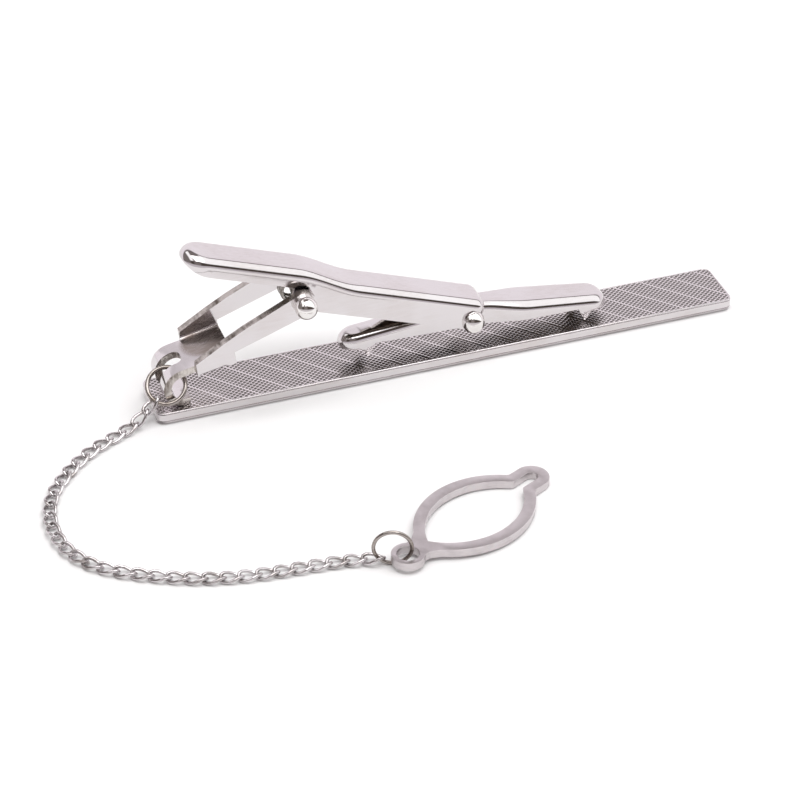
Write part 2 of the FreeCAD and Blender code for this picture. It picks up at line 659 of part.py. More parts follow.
def loop_ring_centre():
    """Centre of the loop ring: upright on the table, its wire through the middle of the tab's hole."""
    radius = (LOOP_RING_DIAMETER - LOOP_RING_WIRE) / 2
    height = LOOP_RING_DIAMETER / 2
    drop = height - LOOP_TAB_LIFT - LOOP_SHEET / 2
    back = math.sqrt(radius ** 2 - drop ** 2)
    hole = Vector(BAR_END, 0, 0) + Vector(*LOOP_TAB_PLACE)
    return hole - loop_ring_heading() * back + Z_AXIS * height


def loop_ring_heading():
    """Level direction from the loop ring's centre to the tab's hole."""
    turn = math.radians(LOOP_RING_TURN)
    return Vector(math.cos(turn), math.sin(turn), 0)


def make_loop_ring():
    """Jump ring between the chain's last link and the loop's tab."""
    radius = (LOOP_RING_DIAMETER - LOOP_RING_WIRE) / 2
    facing = loop_ring_heading().cross(Z_AXIS)
    return Part.makeTorus(radius, LOOP_RING_WIRE / 2, loop_ring_centre(), facing)


def ring_grip(centre, outward, diameter, wire):
    """Where the chain pulls on a ring: just inside its wire, on the side that outward points to."""
    return centre + outward * (diameter / 2 - wire - RING_PLAY + LINK_PLAY / 2)


def link_lift():
    """Height of a lying link's middle above the table."""
    rise = max(link_point(math.radians(degree)).z for degree in range(360))
    return rise + LINK_WIRE / 2 + TABLE_GAP


def chain_stops():
    """Points where one link bears on the next, from the eye ring to the loop ring."""
    facing = Vector(*EYE_RING_FACING).normalize()
    level = Z_AXIS.cross(facing).normalize()
    fall = level.cross(facing)
    turn = math.radians(EYE_GRIP_ANGLE)
    outward = fall * math.cos(turn) - level * math.sin(turn)
    start = ring_grip(eye_ring_centre(), outward, EYE_RING_DIAMETER, EYE_RING_WIRE)
    turn = math.radians(LOOP_GRIP_ANGLE)
    outward = loop_ring_heading() * -math.cos(turn) - Z_AXIS * math.sin(turn)
    end = ring_grip(loop_ring_centre(), outward, LOOP_RING_DIAMETER, LOOP_RING_WIRE)
    lift = link_lift()
    places = [Vector(BAR_END + x, y, lift + rise) for x, y, rise in CHAIN_ROUTE]
    line = Part.BSplineCurve()
    line.interpolate([start] + places + [end])
    count = round(line.length() / LINK_PITCH)
    return [Vector(stop.x, stop.y, max(stop.z, lift)) for stop in line.discretize(Number=count + 1)]


def link_point(turn):
    """Centre line of a twisted link that lies along X, with turn going once round it; its ends are blunt."""
    half_length = (LINK_PITCH + LINK_WIRE + LINK_PLAY) / 2
    half_width = (LINK_WIDTH - LINK_WIRE) / 2
    twist = math.radians(LINK_TWIST) * math.cos(turn)
    across = half_width * math.copysign(abs(math.sin(turn)) ** LINK_END_POWER, math.sin(turn))
    return Vector(half_length * math.cos(turn), across * math.cos(twist), across * math.sin(twist))


def make_link():
    """One closed link of the chain: a flat-sided wire bent into a twisted oval."""
    rows = []
    small = 1e-4
    for step in range(LINK_STEPS):
        turn = 2 * math.pi * step / LINK_STEPS
        centre = link_point(turn)
        along = (link_point(turn + small) - link_point(turn - small)).normalize()
        outward = (centre - along * centre.dot(along)).normalize()
        across = along.cross(outward)
        row = []
        for side in range(LINK_SIDES):
            angle = 2 * math.pi * (side + 0.5) / LINK_SIDES
            row.append(centre + (outward * math.cos(angle) + across * math.sin(angle)) * (LINK_WIRE / 2))
        rows.append(row)
    faces = []
    for step in range(LINK_STEPS):
        row = rows[step]
        following = rows[(step + 1) % LINK_STEPS]
        for side in range(LINK_SIDES):
            beside = (side + 1) % LINK_SIDES
            for corners in ((row[side], following[side], following[beside]),
                            (row[side], following[beside], row[beside])):
                faces.append(Part.Face(Part.makePolygon(list(corners) + [corners[0]])))
    link = Part.makeSolid(Part.makeShell(faces))
    if link.Volume < 0:
        link.reverse()
    return link


def make_chain():
    """Links laid between the bearing points, each turned along its run and flat to the table."""
    link = make_link()
    stops = chain_stops()
    links = []
    for start, end in zip(stops, stops[1:]):
        along = (end - start).normalize()
        across = Z_AXIS.cross(along).normalize()
        placed = link.copy()
        placed.Placement = FreeCAD.Placement(
            (start + end) * 0.5, FreeCAD.Rotation(along, across, along.cross(across), "XYZ"))
        links.append(placed)
    return links


os.makedirs("parts", exist_ok=True)
pieces = {
    "tie_bar": make_tie_bar(),
    "hinge_bracket": make_hinge_bracket(),
    "lever_pin": make_lever_pin(),
    "lever": make_lever(),
    "jaw_pin": make_jaw_pin(),
    "jaw": make_jaw(),
    "torsion_spring": make_torsion_spring(),
    "eye_ring": make_eye_ring(),
    "loop_ring": make_loop_ring(),
    "button_loop": make_button_loop(),
}
for number, link in enumerate(make_chain(), 1):
    pieces["chain_link_%02d" % number] = link
for name, shape in pieces.items():
    shape.Solids[0].exportStep("parts/" + name + ".step")
    box = shape.BoundBox
    print(name, shape.isValid(), len(shape.Solids), round(shape.Volume, 3),
          [round(value, 2) for value in (box.XMin, box.XMax, box.YMin, box.YMax, box.ZMin, box.ZMax)])
for number, stop in enumerate(chain_stops()):
    print("chain stop", number, [round(value, 3) for value in stop])
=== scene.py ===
import json
import math

import bmesh
import bpy
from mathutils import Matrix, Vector


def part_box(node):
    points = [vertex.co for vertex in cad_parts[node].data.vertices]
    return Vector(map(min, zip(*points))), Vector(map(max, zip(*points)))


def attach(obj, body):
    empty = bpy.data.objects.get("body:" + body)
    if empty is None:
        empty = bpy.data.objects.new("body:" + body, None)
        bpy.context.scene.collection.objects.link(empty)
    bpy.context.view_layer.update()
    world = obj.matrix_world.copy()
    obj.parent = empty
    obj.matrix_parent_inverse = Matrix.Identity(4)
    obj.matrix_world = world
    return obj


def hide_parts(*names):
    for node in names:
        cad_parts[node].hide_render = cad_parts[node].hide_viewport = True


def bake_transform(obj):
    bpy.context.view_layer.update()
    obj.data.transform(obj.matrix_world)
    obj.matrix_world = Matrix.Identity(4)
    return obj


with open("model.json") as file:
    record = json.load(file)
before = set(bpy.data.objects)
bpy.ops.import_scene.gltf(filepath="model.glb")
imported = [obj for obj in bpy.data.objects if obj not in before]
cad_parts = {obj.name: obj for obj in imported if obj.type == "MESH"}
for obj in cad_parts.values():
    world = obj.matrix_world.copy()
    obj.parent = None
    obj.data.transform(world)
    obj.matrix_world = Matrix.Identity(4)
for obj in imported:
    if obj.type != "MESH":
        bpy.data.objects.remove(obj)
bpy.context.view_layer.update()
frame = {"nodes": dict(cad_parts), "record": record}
MM = 0.001

# Camera, fitted to the bar's corners and the flat loop
CAMERA_TURN = 19.4533
CAMERA_RISE = 35.7529
CAMERA_DISTANCE = 266.9 * MM
CAMERA_TARGET = Vector((-6.8529, -6.5766, 0)) * MM
CAMERA_LENS = 124.416
CAMERA_SENSOR = 36
CAMERA_CLIP = (0.001, 50)

# Colours of the studio
WALL_COLOR = (0.785, 0.745, 0.775)
GAP_COLOR = (0.12, 0.10, 0.10)
CEILING_COLOR = (1.0, 1.0, 1.0)
ROOM_COLOR = (0.06, 0.048, 0.042)
DIM_COLOR = (0.17, 0.15, 0.145)
FRONT_COLOR = (0.5, 0.47, 0.49)
WORLD_STRENGTH = 1.4

# Places along the studio's arch, from the wall behind at 0 over the ceiling to the front at 1
WALL_END = 0.205
GAP_START = 0.25
GAP_END = 0.27
PANEL_START = 0.285
DIM_START = 0.3
PANEL_END = 0.69
ROOM_START = 0.725
ROOM_END = 0.88
FRONT_START = 0.91

# Places across the studio from left to right, each with 1 where a panel overhead is lit
PANEL_EDGES = ((0.0, 0), (0.16, 0), (0.2, 1), (0.3, 1), (0.34, 0), (0.58, 0), (0.63, 1), (1.0, 1))

# Table and lamp
FLOOR_SIZE = 6
FLOOR_COLOR = (0.95, 0.95, 0.95)
FLOOR_ROUGHNESS = 0.9
FLOOR_SHINE = 0.1
LAMP_PLACE = (0, -0.1, 0.6)
LAMP_SIZE = 0.5
LAMP_POWER = 2.2

# Finishes, each clean and worn, as a colour with a roughness
POLISHED = (((0.68, 0.65, 0.66), 0.08), ((0.63, 0.59, 0.59), 0.14))
PINS = (((0.82, 0.80, 0.79), 0.06), ((0.70, 0.66, 0.63), 0.12))
WIRE = (((0.52, 0.50, 0.48), 0.22), ((0.30, 0.27, 0.24), 0.4))
CHAIN = (((0.62, 0.59, 0.60), 0.12), ((0.30, 0.27, 0.26), 0.25))
RINGS = (((0.38, 0.345, 0.325), 0.16), ((0.20, 0.165, 0.14), 0.3))
SATIN = (((0.62, 0.58, 0.59), 0.28), ((0.53, 0.49, 0.50), 0.38))
# Painted shade: the channels' insides are coloured dark brown; their higher roughness is their duller finish
SHADED_INSIDE = (((0.26, 0.22, 0.18), 0.3), ((0.12, 0.09, 0.07), 0.5))
SHEARED = (((0.60, 0.56, 0.53), 0.2), ((0.14, 0.115, 0.10), 0.4))

# Wear, the painted shade and reflection on the bracket's web between its arms, and the hatch's painted shade
# from its dark floors to its light crests
WEAR_START = 0.4
WEAR_END = 0.75
RELIEF_DEPTH = 0.02 * MM
# Painted shade and reflection: a round brown patch on the web between the bracket's arms
WEB_SHADE_MIDDLE = (-24.2, 0.9, 6.2)
WEB_SHADE_RADIUS = 2.5
WEB_SHADE_EDGE = 0.75
WEB_SHADE_COLOR = (0.40, 0.34, 0.31)
WEB_SHADE_ROUGHNESS = 0.4
# Painted shade: the hatch is coloured darker the deeper it lies, darkest at its floors and lightest at its
# crests
HATCH_SHADE_COLORS = [(0.0, (0.28, 0.26, 0.257)), (0.25, (0.37, 0.345, 0.345)), (0.6, (0.68, 0.645, 0.655)),
                (1.0, (0.84, 0.80, 0.815))]
HATCH_ROUGHNESS = 0.18
HATCH_WORN_ROUGHNESS = 0.2

# Pieces are modelled in millimetres and brought to metres when they are finished; angles are in degrees
NEAR = 1e-3
MERGE_NEAR = 1e-4
CUT_NEAR = 1e-5
FACING = 0.9  # least share of a normal along the way its face looks
EDGE_ANGLE = 50
SMOOTH_ANGLE = 35

# Bar and its crosshatch
BAR_LENGTH = 60.0
BAR_WIDTH = 6.2
BAR_THICKNESS = 1.36
BAR_CORNER = 0.8
BAR_BEVEL_HEIGHT = 0.4
BAR_BEVEL_INSET = 0.2
RIM_WIDTH = 0.2
RIM_ROUNDING = 0.08
RIM_INNER_ROUNDING = 0.04
BAR_LINE_WIDTH = 0.1
BAR_LINE_DEPTH = 0.12
SEAM_DROP = 0.2
POCKET_DEPTH = 0.25
HATCH_PITCH = 0.367
HATCH_DEPTH = 0.035
HATCH_SHOULDER = 0.5  # height beside a wide ridge, as a share of the depth
HATCH_LINES = 6  # ridges each way in a tile
HATCH_STEPS = 4  # steps of the grid in a pitch
HATCH_TILES = 23
HATCH_SQUEEZE = (1.0406, 0.961)
HATCH_LEAN = 45
HATCH_TURN = 5.25
HATCH_SINK = 0.02

# Lever, in its own lie about the lever pin
PIVOT = (-15.25, 10.85)
LEVER_SLOPE = 19.7
LEVER_WIDTH = 4.34
LEVER_SHEET = 0.42
LEVER_TAIL = -12.3
LEVER_HEAD = 19.9
TAIL_TOP = 2.75
TAIL_LOW = 1.02
HEAD_TOP = 1.84
STEP_START = -0.6
STEP_END = 6.0
LEVER_DEEP = -2.5
LEVER_ROUNDING = 1.0
LEVER_EDGE_ROUNDING = 0.07
TAIL_CORNER = 2.14
HEAD_CORNER = 1.2
NOSE_RUN = 2.8
NOSE_RISE = 0.68
NOSE_FIRST_COLUMN = 1.8  # from the tail's end
EAR_RADIUS = 1.0
EAR_STEP = 0.01  # from the tail's lower edge to the ear
FLANGE_START = 2.3
FLANGE_LOW = -1.26
JAW_PIN = (18.75, -0.3)
JAW_EAR_RADIUS = 1.15

# Jaw, in its own lie about the rivet
JAW_PLACE = (2.3015, 4.247)
JAW_TILT = 1.2
JAW_LEFT = -13.2
JAW_RIGHT = 14.7
JAW_SHEET = 0.4
JAW_APEX = 1.43
JAW_ROOF_SLOPE = 6.8
JAW_APEX_RADIUS = 20.0
JAW_ROUNDING = 0.95
JAW_EDGE_ROUNDING = 0.05
JAW_END_ROUNDING = 1.65
JAW_DEEP = -3.0
JAW_HALF_WIDTH = 1.4
JAW_FRONT_HALF_WIDTH = 2.07
JAW_END_HALF_WIDTH = 1.85
JAW_FLARE_START = 1.2
JAW_FLARE_END = 6.0
JAW_LOW = -1.0
JAW_NOSE_LOW = -1.42
JAW_NOSE_RADIUS = 0.12
TOOTH_PLACES = (-10.55, 12.05)
TOOTH_HALF_WIDTH = 0.75
TOOTH_TIP = -2.4
TOOTH_FULLNESS = 0.8
TOOTH_COLUMNS = (-1, -0.5, -0.2, 0, 0.2, 0.5, 1)  # in half widths of a tooth
JAW_COLUMNS = ((-2.6, 6.6, 20), (8, 10, 2), (-9, -4, 4))  # start, end and count of steps

# Bracket: foot, slotted U-bend, web and two arms
BEND = (-27.05, 3.39)
BEND_RADIUS = 2.03
BRACKET_SHEET = 0.75
FOOT_LENGTH = 0.5
WEB_SLOPE = 12.0
NECK_HALF_WIDTH = 2.35
ARM_INSIDE = 2.55
ARM_OUTSIDE = 3.3
HEEL_X = -26.05
TOE_X = -22.25
HEEL_TOP = 6.411
KNEE = (-23.3, 8.14)
SHOULDER = (-21.15, 9.37)
STEP_HEIGHT = 7.019
LUG_RADIUS = 1.25
LUG_LAST_COLUMN = 0.995  # in radii of the lug
HEEL_COLUMNS = (0.25, 0.6)  # from the heel
SLOT_HALF_WIDTH = 0.95
SLOT_LOW = 2.06
SLOT_END = -26.75
SLOT_END_ROUNDING = 0.65
FOLD_ROUNDING = 0.4
FOLD_INNER_ROUNDING = 0.22
BRACKET_EDGE_ROUNDING = 0.06

# Pins and the spring on the first of them
PIN_RADIUS = 0.55
PIN_BALL_RADIUS = 1.1
PIN_BALL_STANDOFF = 0.62
RIVET_HEAD_RADIUS = 1.15
RIVET_HEAD_HEIGHT = 1.1
FACET_LEAN = 20.0
FACET_REACH = 1.0
SPRING_SMOOTH_ANGLE = 60

# Rings and chain
EYE_RING_DIAMETER = 4.1
EYE_RING_WIRE = 0.44
EYE_RING_FACING = (-0.2, -0.6, 0.775)
LOOP_RING_DIAMETER = 3.8
LOOP_RING_WIRE = 0.36
LOOP_RING_FACING = (-0.333, -0.943, 0)
RING_SPLIT = 0.05
LINK_EDGE_ROUNDING = 0.05
LINK_QUAD_ANGLE = 60

# Button loop, in its own lie about the tab's hole
LOOP_PLACE = (-14.53, -30.46)
LOOP_TURN = 26.5
LOOP_TAB_LIFT = 0.45
LOOP_SHEET = 0.8
TAB_RADIUS = 1.55
TAB_HOLE_RADIUS = 1.05
TAB_NECK = 1.2
LENS_MIDDLE = 8.75
LENS_OUTER = (7.35, 4.7)
LENS_INNER = (6.2, 3.55)
NUB_END = 18.15
NUB_RADIUS = 1.65
NUB_SLOT = 0.6
LOOP_EDGE_ROUNDING = 0.18
LOOP_ASIDE = 50  # clear of the columns that still wait


def begin(name, add_primitive, **settings):
    """Add a primitive at the origin, alone selected, and open it in edit mode."""
    bpy.ops.object.select_all(action="DESELECT")
    add_primitive(location=(0, 0, 0), **settings)
    piece = bpy.context.object
    piece.name = name
    piece.data.name = name
    bpy.ops.object.mode_set(mode="EDIT")
    return piece


def choose(piece, kind, test):
    """Select the vertices, edges or faces of a piece that pass a test."""
    bpy.ops.mesh.select_mode(type=kind)
    bpy.ops.mesh.select_all(action="DESELECT")
    mesh = bmesh.from_edit_mesh(piece.data)
    elements = {"VERT": mesh.verts, "EDGE": mesh.edges, "FACE": mesh.faces}[kind]
    for element in elements:
        if test(element):
            element.select_set(True)
    mesh.select_flush_mode()
    bmesh.update_edit_mesh(piece.data)


def near(value, other):
    """Whether two lengths agree."""
    return abs(value - other) < NEAR


def choose_vertices(piece, test):
    """Select the vertices whose place passes a test."""
    choose(piece, "VERT", lambda vertex: test(vertex.co))


def choose_edges(piece, test):
    """Select the edges whose two ends pass a test."""
    choose(piece, "EDGE", lambda edge: test(edge.verts[0].co, edge.verts[1].co))


def choose_faces(piece, test):
    """Select the faces whose middle and normal pass a test."""
    choose(piece, "FACE", lambda face: test(face.calc_center_median(), face.normal))


def choose_all():
    """Select the whole of the piece in edit mode."""
    bpy.ops.mesh.select_all(action="SELECT")


def move(x=0, y=0, z=0):
    """Move what is selected."""
    bpy.ops.transform.translate(value=(x, y, z))


def stretch(x=1, y=1, z=1):
    """Scale what is selected about the origin."""
    bpy.ops.transform.resize(value=(x, y, z), center_override=(0, 0, 0))


def turn(angle, axis):
    """Turn what is selected about the origin, anticlockwise seen from the axis's tip."""
    bpy.ops.transform.rotate(value=-math.radians(angle), orient_axis=axis, center_override=(0, 0, 0))


def extrude(x=0, y=0, z=0):
    """Extrude what is selected and move it."""
    bpy.ops.mesh.extrude_region_move(TRANSFORM_OT_translate={"value": (x, y, z)})


def cut(place, normal, clear=False):
    """Bisect the whole piece with a plane; what lies beyond it may be cleared."""
    choose_all()
    bpy.ops.mesh.bisect(plane_co=place, plane_no=normal, clear_outer=clear, threshold=CUT_NEAR)


def cut_columns(places):
    """Bisect the whole piece across X at each place."""
    for x in places:
        cut((x, 0, 0), (1, 0, 0))


def columns(piece, test):
    """Spans of x that hold the columns of vertices that pass a test."""
    mesh = bmesh.from_edit_mesh(piece.data)
    spans = []
    for x in sorted(vertex.co.x for vertex in mesh.verts if test(vertex.co)):
        if spans and x - spans[-1][1] < NEAR:
            spans[-1][1] = x
        else:
            spans.append([x, x])
    return spans


def shift_columns(piece, test, shift):
    """Move the vertices that pass a test, column by column, by a shift in Z that depends on x."""
    for low, high in columns(piece, test):
        choose_vertices(piece, lambda place: test(place) and low <= place.x <= high)
        move(z=shift((low + high) / 2))


def spread(start, end, count):
    """Even places from a start to an end."""
    return [start + (end - start) * index / count for index in range(count + 1)]


def round_places(middle, radius, angles):
    """Places along X of the points of a circle at some angles."""
    return [middle + radius * math.cos(math.radians(angle)) for angle in angles]


def ease(x, start, end):
    """S-shaped rise from 0 at a start to 1 at an end."""
    part = min(max((x - start) / (end - start), 0), 1)
    return part * part * (3 - 2 * part)


def add_modifier(piece, kind, **settings):
    """Add a modifier with its settings and apply it."""
    bpy.ops.object.mode_set(mode="OBJECT")
    modifier = piece.modifiers.new(kind, kind)
    for setting, value in settings.items():
        setattr(modifier, setting, value)
    bpy.ops.object.modifier_apply(modifier=modifier.name)
    bpy.ops.object.mode_set(mode="EDIT")


def mirror(piece):
    """Mirror a piece across Y and select the whole of it."""
    add_modifier(piece, "MIRROR", use_axis=(False, True, False), merge_threshold=NEAR)
    choose_all()


def round_edges(piece, width, segments=2):
    """Round the sharp edges of a piece."""
    add_modifier(piece, "BEVEL", width=width, segments=segments, limit_method="ANGLE",
                 angle_limit=math.radians(EDGE_ANGLE))


def dress(piece, materials):
    """Give a piece its materials."""
    piece.data.materials.clear()
    for material in materials:
        piece.data.materials.append(material)


def join(*parts):
    """Join further parts into the first one."""
    bpy.ops.object.mode_set(mode="OBJECT")
    bpy.ops.object.select_all(action="DESELECT")
    for part in parts:
        part.select_set(True)
    bpy.context.view_layer.objects.active = parts[0]
    bpy.ops.object.join()
    bpy.ops.object.mode_set(mode="EDIT")


def smooth(angle):
    """Bring the piece in edit mode to metres, leave edit mode, and shade it smooth up to an angle."""
    choose_all()
    stretch(MM, MM, MM)
    bpy.ops.object.mode_set(mode="OBJECT")
    bpy.ops.object.shade_smooth_by_angle(angle=math.radians(angle))


def finish(piece, body, slot, *nodes):
    """Bring a piece to metres, smooth it, and let it stand for its nodes on their body."""
    smooth(SMOOTH_ANGLE)
    add_modifier(piece, "WEIGHTED_NORMAL", keep_sharp=True)
    bpy.ops.object.mode_set(mode="OBJECT")
    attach(piece, body)
    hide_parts(*nodes)


def make_camera():
    """Camera that sees the clip as in the photograph."""
    data = bpy.data.cameras.new("camera")
    data.lens = CAMERA_LENS
    data.sensor_width = CAMERA_SENSOR
    data.clip_start, data.clip_end = CAMERA_CLIP
    camera = bpy.data.objects.new("camera", data)
    aside = math.radians(CAMERA_TURN)
    rise = math.radians(CAMERA_RISE)
    back = Vector((-math.sin(aside) * math.cos(rise), -math.cos(aside) * math.cos(rise), math.sin(rise)))
    camera.location = CAMERA_TARGET + back * CAMERA_DISTANCE
    camera.rotation_mode = "QUATERNION"
    camera.rotation_quaternion = (-back).to_track_quat("-Z", "Y")
    bpy.context.scene.collection.objects.link(camera)
    bpy.context.scene.camera = camera


def shader(name):
    """New material and its principled shader."""
    material = bpy.data.materials.new(name)
    material.use_nodes = True
    return material, material.node_tree.nodes["Principled BSDF"]


def add_sockets(group, way, **kinds):
    """Give a node group named sockets of a kind each, going in or out."""
    for name, kind in kinds.items():
        label = name.replace("_", " ").title()
        group.interface.new_socket(label, in_out=way, socket_type="NodeSocket" + kind)


def math_node(tree, operation, first, second=None):
    """Math node fed by sockets or plain numbers; gives its result socket."""
    node = tree.nodes.new("ShaderNodeMath")
    node.operation = operation
    for socket, value in zip(node.inputs, (first, second)):
        if isinstance(value, bpy.types.NodeSocket):
            tree.links.new(value, socket)
        elif value is not None:
            socket.default_value = value
    return node.outputs[0]


def color_ramp(tree, factor, stops):
    """Colour ramp over a factor; each stop is a position and a colour."""
    node = tree.nodes.new("ShaderNodeValToRGB")
    elements = node.color_ramp.elements
    while len(elements) < len(stops):
        elements.new(0.5)
    for element, (position, color) in zip(elements, stops):
        element.position = position
        element.color = (*color, 1)
    tree.links.new(factor, node.inputs["Fac"])
    return node.outputs["Color"]


def noise(tree, place, scale, squeeze, detail):
    """Noise over the object, drawn out along its axes; gives its factor socket."""
    mapping = tree.nodes.new("ShaderNodeMapping")
    mapping.inputs["Scale"].default_value = squeeze
    tree.links.new(place, mapping.inputs["Vector"])
    node = tree.nodes.new("ShaderNodeTexNoise")
    node.inputs["Scale"].default_value = scale
    node.inputs["Detail"].default_value = detail
    tree.links.new(mapping.outputs["Vector"], node.inputs["Vector"])
    return node.outputs["Fac"]


def blend_colors(tree, factor, first, second):
    """Mix of two colour sockets by a factor socket."""
    node = tree.nodes.new("ShaderNodeMix")
    node.data_type = "RGBA"
    # Inputs 6 and 7 and output 2 are the mix node's colours
    tree.links.new(factor, node.inputs[0])
    tree.links.new(first, node.inputs[6])
    tree.links.new(second, node.inputs[7])
    return node.outputs[2]


def blend_values(tree, factor, first, second):
    """Value between two value sockets by a factor socket."""
    span = math_node(tree, "SUBTRACT", second, first)
    return math_node(tree, "ADD", first, math_node(tree, "MULTIPLY", factor, span))


def make_wear_group(name, patch_size, grain_size, grain_stretch):
    """Node group of worn plating: cloudy patches between two colours and a drawn-out grain."""
    group = bpy.data.node_groups.new(name, "ShaderNodeTree")
    add_sockets(group, "INPUT", clean_color="Color", worn_color="Color",
                clean_roughness="Float", worn_roughness="Float")
    add_sockets(group, "OUTPUT", color="Color", roughness="Float", height="Float")
    given = group.nodes.new("NodeGroupInput")
    result = group.nodes.new("NodeGroupOutput")
    place = group.nodes.new("ShaderNodeTexCoord").outputs["Object"]
    patches = noise(group, place, scale=1 / patch_size, squeeze=(1, 1, 1), detail=4)
    grain = noise(group, place, scale=1 / grain_size, squeeze=grain_stretch, detail=3)
    # Noise lies about 0.5, so a grain raised by 0.5 leaves the patches at their own level
    wear = math_node(group, "MULTIPLY", patches, math_node(group, "ADD", grain, 0.5))
    contrast = group.nodes.new("ShaderNodeMapRange")
    contrast.inputs["From Min"].default_value = WEAR_START
    contrast.inputs["From Max"].default_value = WEAR_END
    group.links.new(wear, contrast.inputs["Value"])
    wear = contrast.outputs["Result"]
    color = blend_colors(group, wear, given.outputs["Clean Color"], given.outputs["Worn Color"])
    roughness = blend_values(group, wear, given.outputs["Clean Roughness"], given.outputs["Worn Roughness"])
    group.links.new(color, result.inputs["Color"])
    group.links.new(roughness, result.inputs["Roughness"])
    group.links.new(grain, result.inputs["Height"])
    return group


def metal(name, group, clean, worn, relief):
    """Plated metal with a wear group; clean and worn are a colour with a roughness."""
    material, surface = shader(name)
    tree = material.node_tree
    wear = tree.nodes.new("ShaderNodeGroup")
    wear.node_tree = group
    wear.inputs["Clean Color"].default_value = (*clean[0], 1)
    wear.inputs["Worn Color"].default_value = (*worn[0], 1)
    wear.inputs["Clean Roughness"].default_value = clean[1]
    wear.inputs["Worn Roughness"].default_value = worn[1]
    bump = tree.nodes.new("ShaderNodeBump")
    bump.inputs["Strength"].default_value = relief
    bump.inputs["Distance"].default_value = RELIEF_DEPTH
    tree.links.new(wear.outputs["Height"], bump.inputs["Height"])
    tree.links.new(wear.outputs["Color"], surface.inputs["Base Color"])
    tree.links.new(wear.outputs["Roughness"], surface.inputs["Roughness"])
    tree.links.new(bump.outputs["Normal"], surface.inputs["Normal"])
    surface.inputs["Metallic"].default_value = 1
    return material


def shaded_metal(name, group, clean, worn, relief):
    """Plated metal with a round, soft-edged brown patch of painted shade and reflection."""
    material = metal(name, group, clean, worn, relief)
    tree = material.node_tree
    wear = next(node for node in tree.nodes if node.type == "GROUP")
    place = tree.nodes.new("ShaderNodeTexCoord")
    distance = tree.nodes.new("ShaderNodeVectorMath")
    distance.operation = "DISTANCE"
    distance.inputs[1].default_value = Vector(WEB_SHADE_MIDDLE) * MM
    tree.links.new(place.outputs["Object"], distance.inputs[0])
    depth = math_node(tree, "DIVIDE", distance.outputs["Value"], WEB_SHADE_RADIUS * MM)
    # Brown painted shade and reflection in the middle, fading to the clean colour at the patch's edge
    shaded_color = color_ramp(tree, depth, [(0.0, WEB_SHADE_COLOR), (WEB_SHADE_EDGE, WEB_SHADE_COLOR), (1.0, clean[0])])
    tree.links.new(shaded_color, wear.inputs["Clean Color"])
    shaded_roughness = tree.nodes.new("ShaderNodeMapRange")
    shaded_roughness.inputs["From Min"].default_value = WEB_SHADE_EDGE
    shaded_roughness.inputs["To Min"].default_value = WEB_SHADE_ROUGHNESS
    shaded_roughness.inputs["To Max"].default_value = clean[1]
    tree.links.new(depth, shaded_roughness.inputs["Value"])
    tree.links.new(shaded_roughness.outputs["Result"], wear.inputs["Clean Roughness"])
    return material


def hatched_metal(name, group):
    """Metal of the crossed ridges, with painted shade that darkens it the deeper it lies."""
    floors = HATCH_SHADE_COLORS[0][1]
    material = metal(name, group, (floors, HATCH_ROUGHNESS), (floors, HATCH_WORN_ROUGHNESS), relief=0)
    tree = material.node_tree
    wear = next(node for node in tree.nodes if node.type == "GROUP")
    place = tree.nodes.new("ShaderNodeTexCoord")
    split = tree.nodes.new("ShaderNodeSeparateXYZ")
    tree.links.new(place.outputs["Object"], split.inputs["Vector"])
    top = BAR_THICKNESS - HATCH_SINK
    depth = tree.nodes.new("ShaderNodeMapRange")
    depth.inputs["From Min"].default_value = (top - HATCH_DEPTH) * MM
    depth.inputs["From Max"].default_value = top * MM
    tree.links.new(split.outputs["Z"], depth.inputs["Value"])
    color = color_ramp(tree, depth.outputs["Result"], HATCH_SHADE_COLORS)
    for state in ("Clean Color", "Worn Color"):
        tree.links.new(color, wear.inputs[state])
    return material


def make_floor():
    """Wide pale table."""
    bpy.ops.mesh.primitive_plane_add(size=FLOOR_SIZE, location=(0, 0, 0))
    floor = bpy.context.object
    floor.name = "floor"
    material, surface = shader("table")
    surface.inputs["Base Color"].default_value = (*FLOOR_COLOR, 1)
    surface.inputs["Roughness"].default_value = FLOOR_ROUGHNESS
    surface.inputs["Specular IOR Level"].default_value = FLOOR_SHINE
    floor.data.materials.append(material)


def make_lamp():
    """Square soft light overhead, turned to the origin."""
    data = bpy.data.lights.new("overhead", "AREA")
    data.shape = "SQUARE"
    data.size = LAMP_SIZE
    data.energy = LAMP_POWER
    lamp = bpy.data.objects.new("overhead", data)
    lamp.location = LAMP_PLACE
    lamp.rotation_mode = "QUATERNION"
    lamp.rotation_quaternion = (-Vector(LAMP_PLACE)).to_track_quat("-Z", "Y")
    bpy.context.scene.collection.objects.link(lamp)


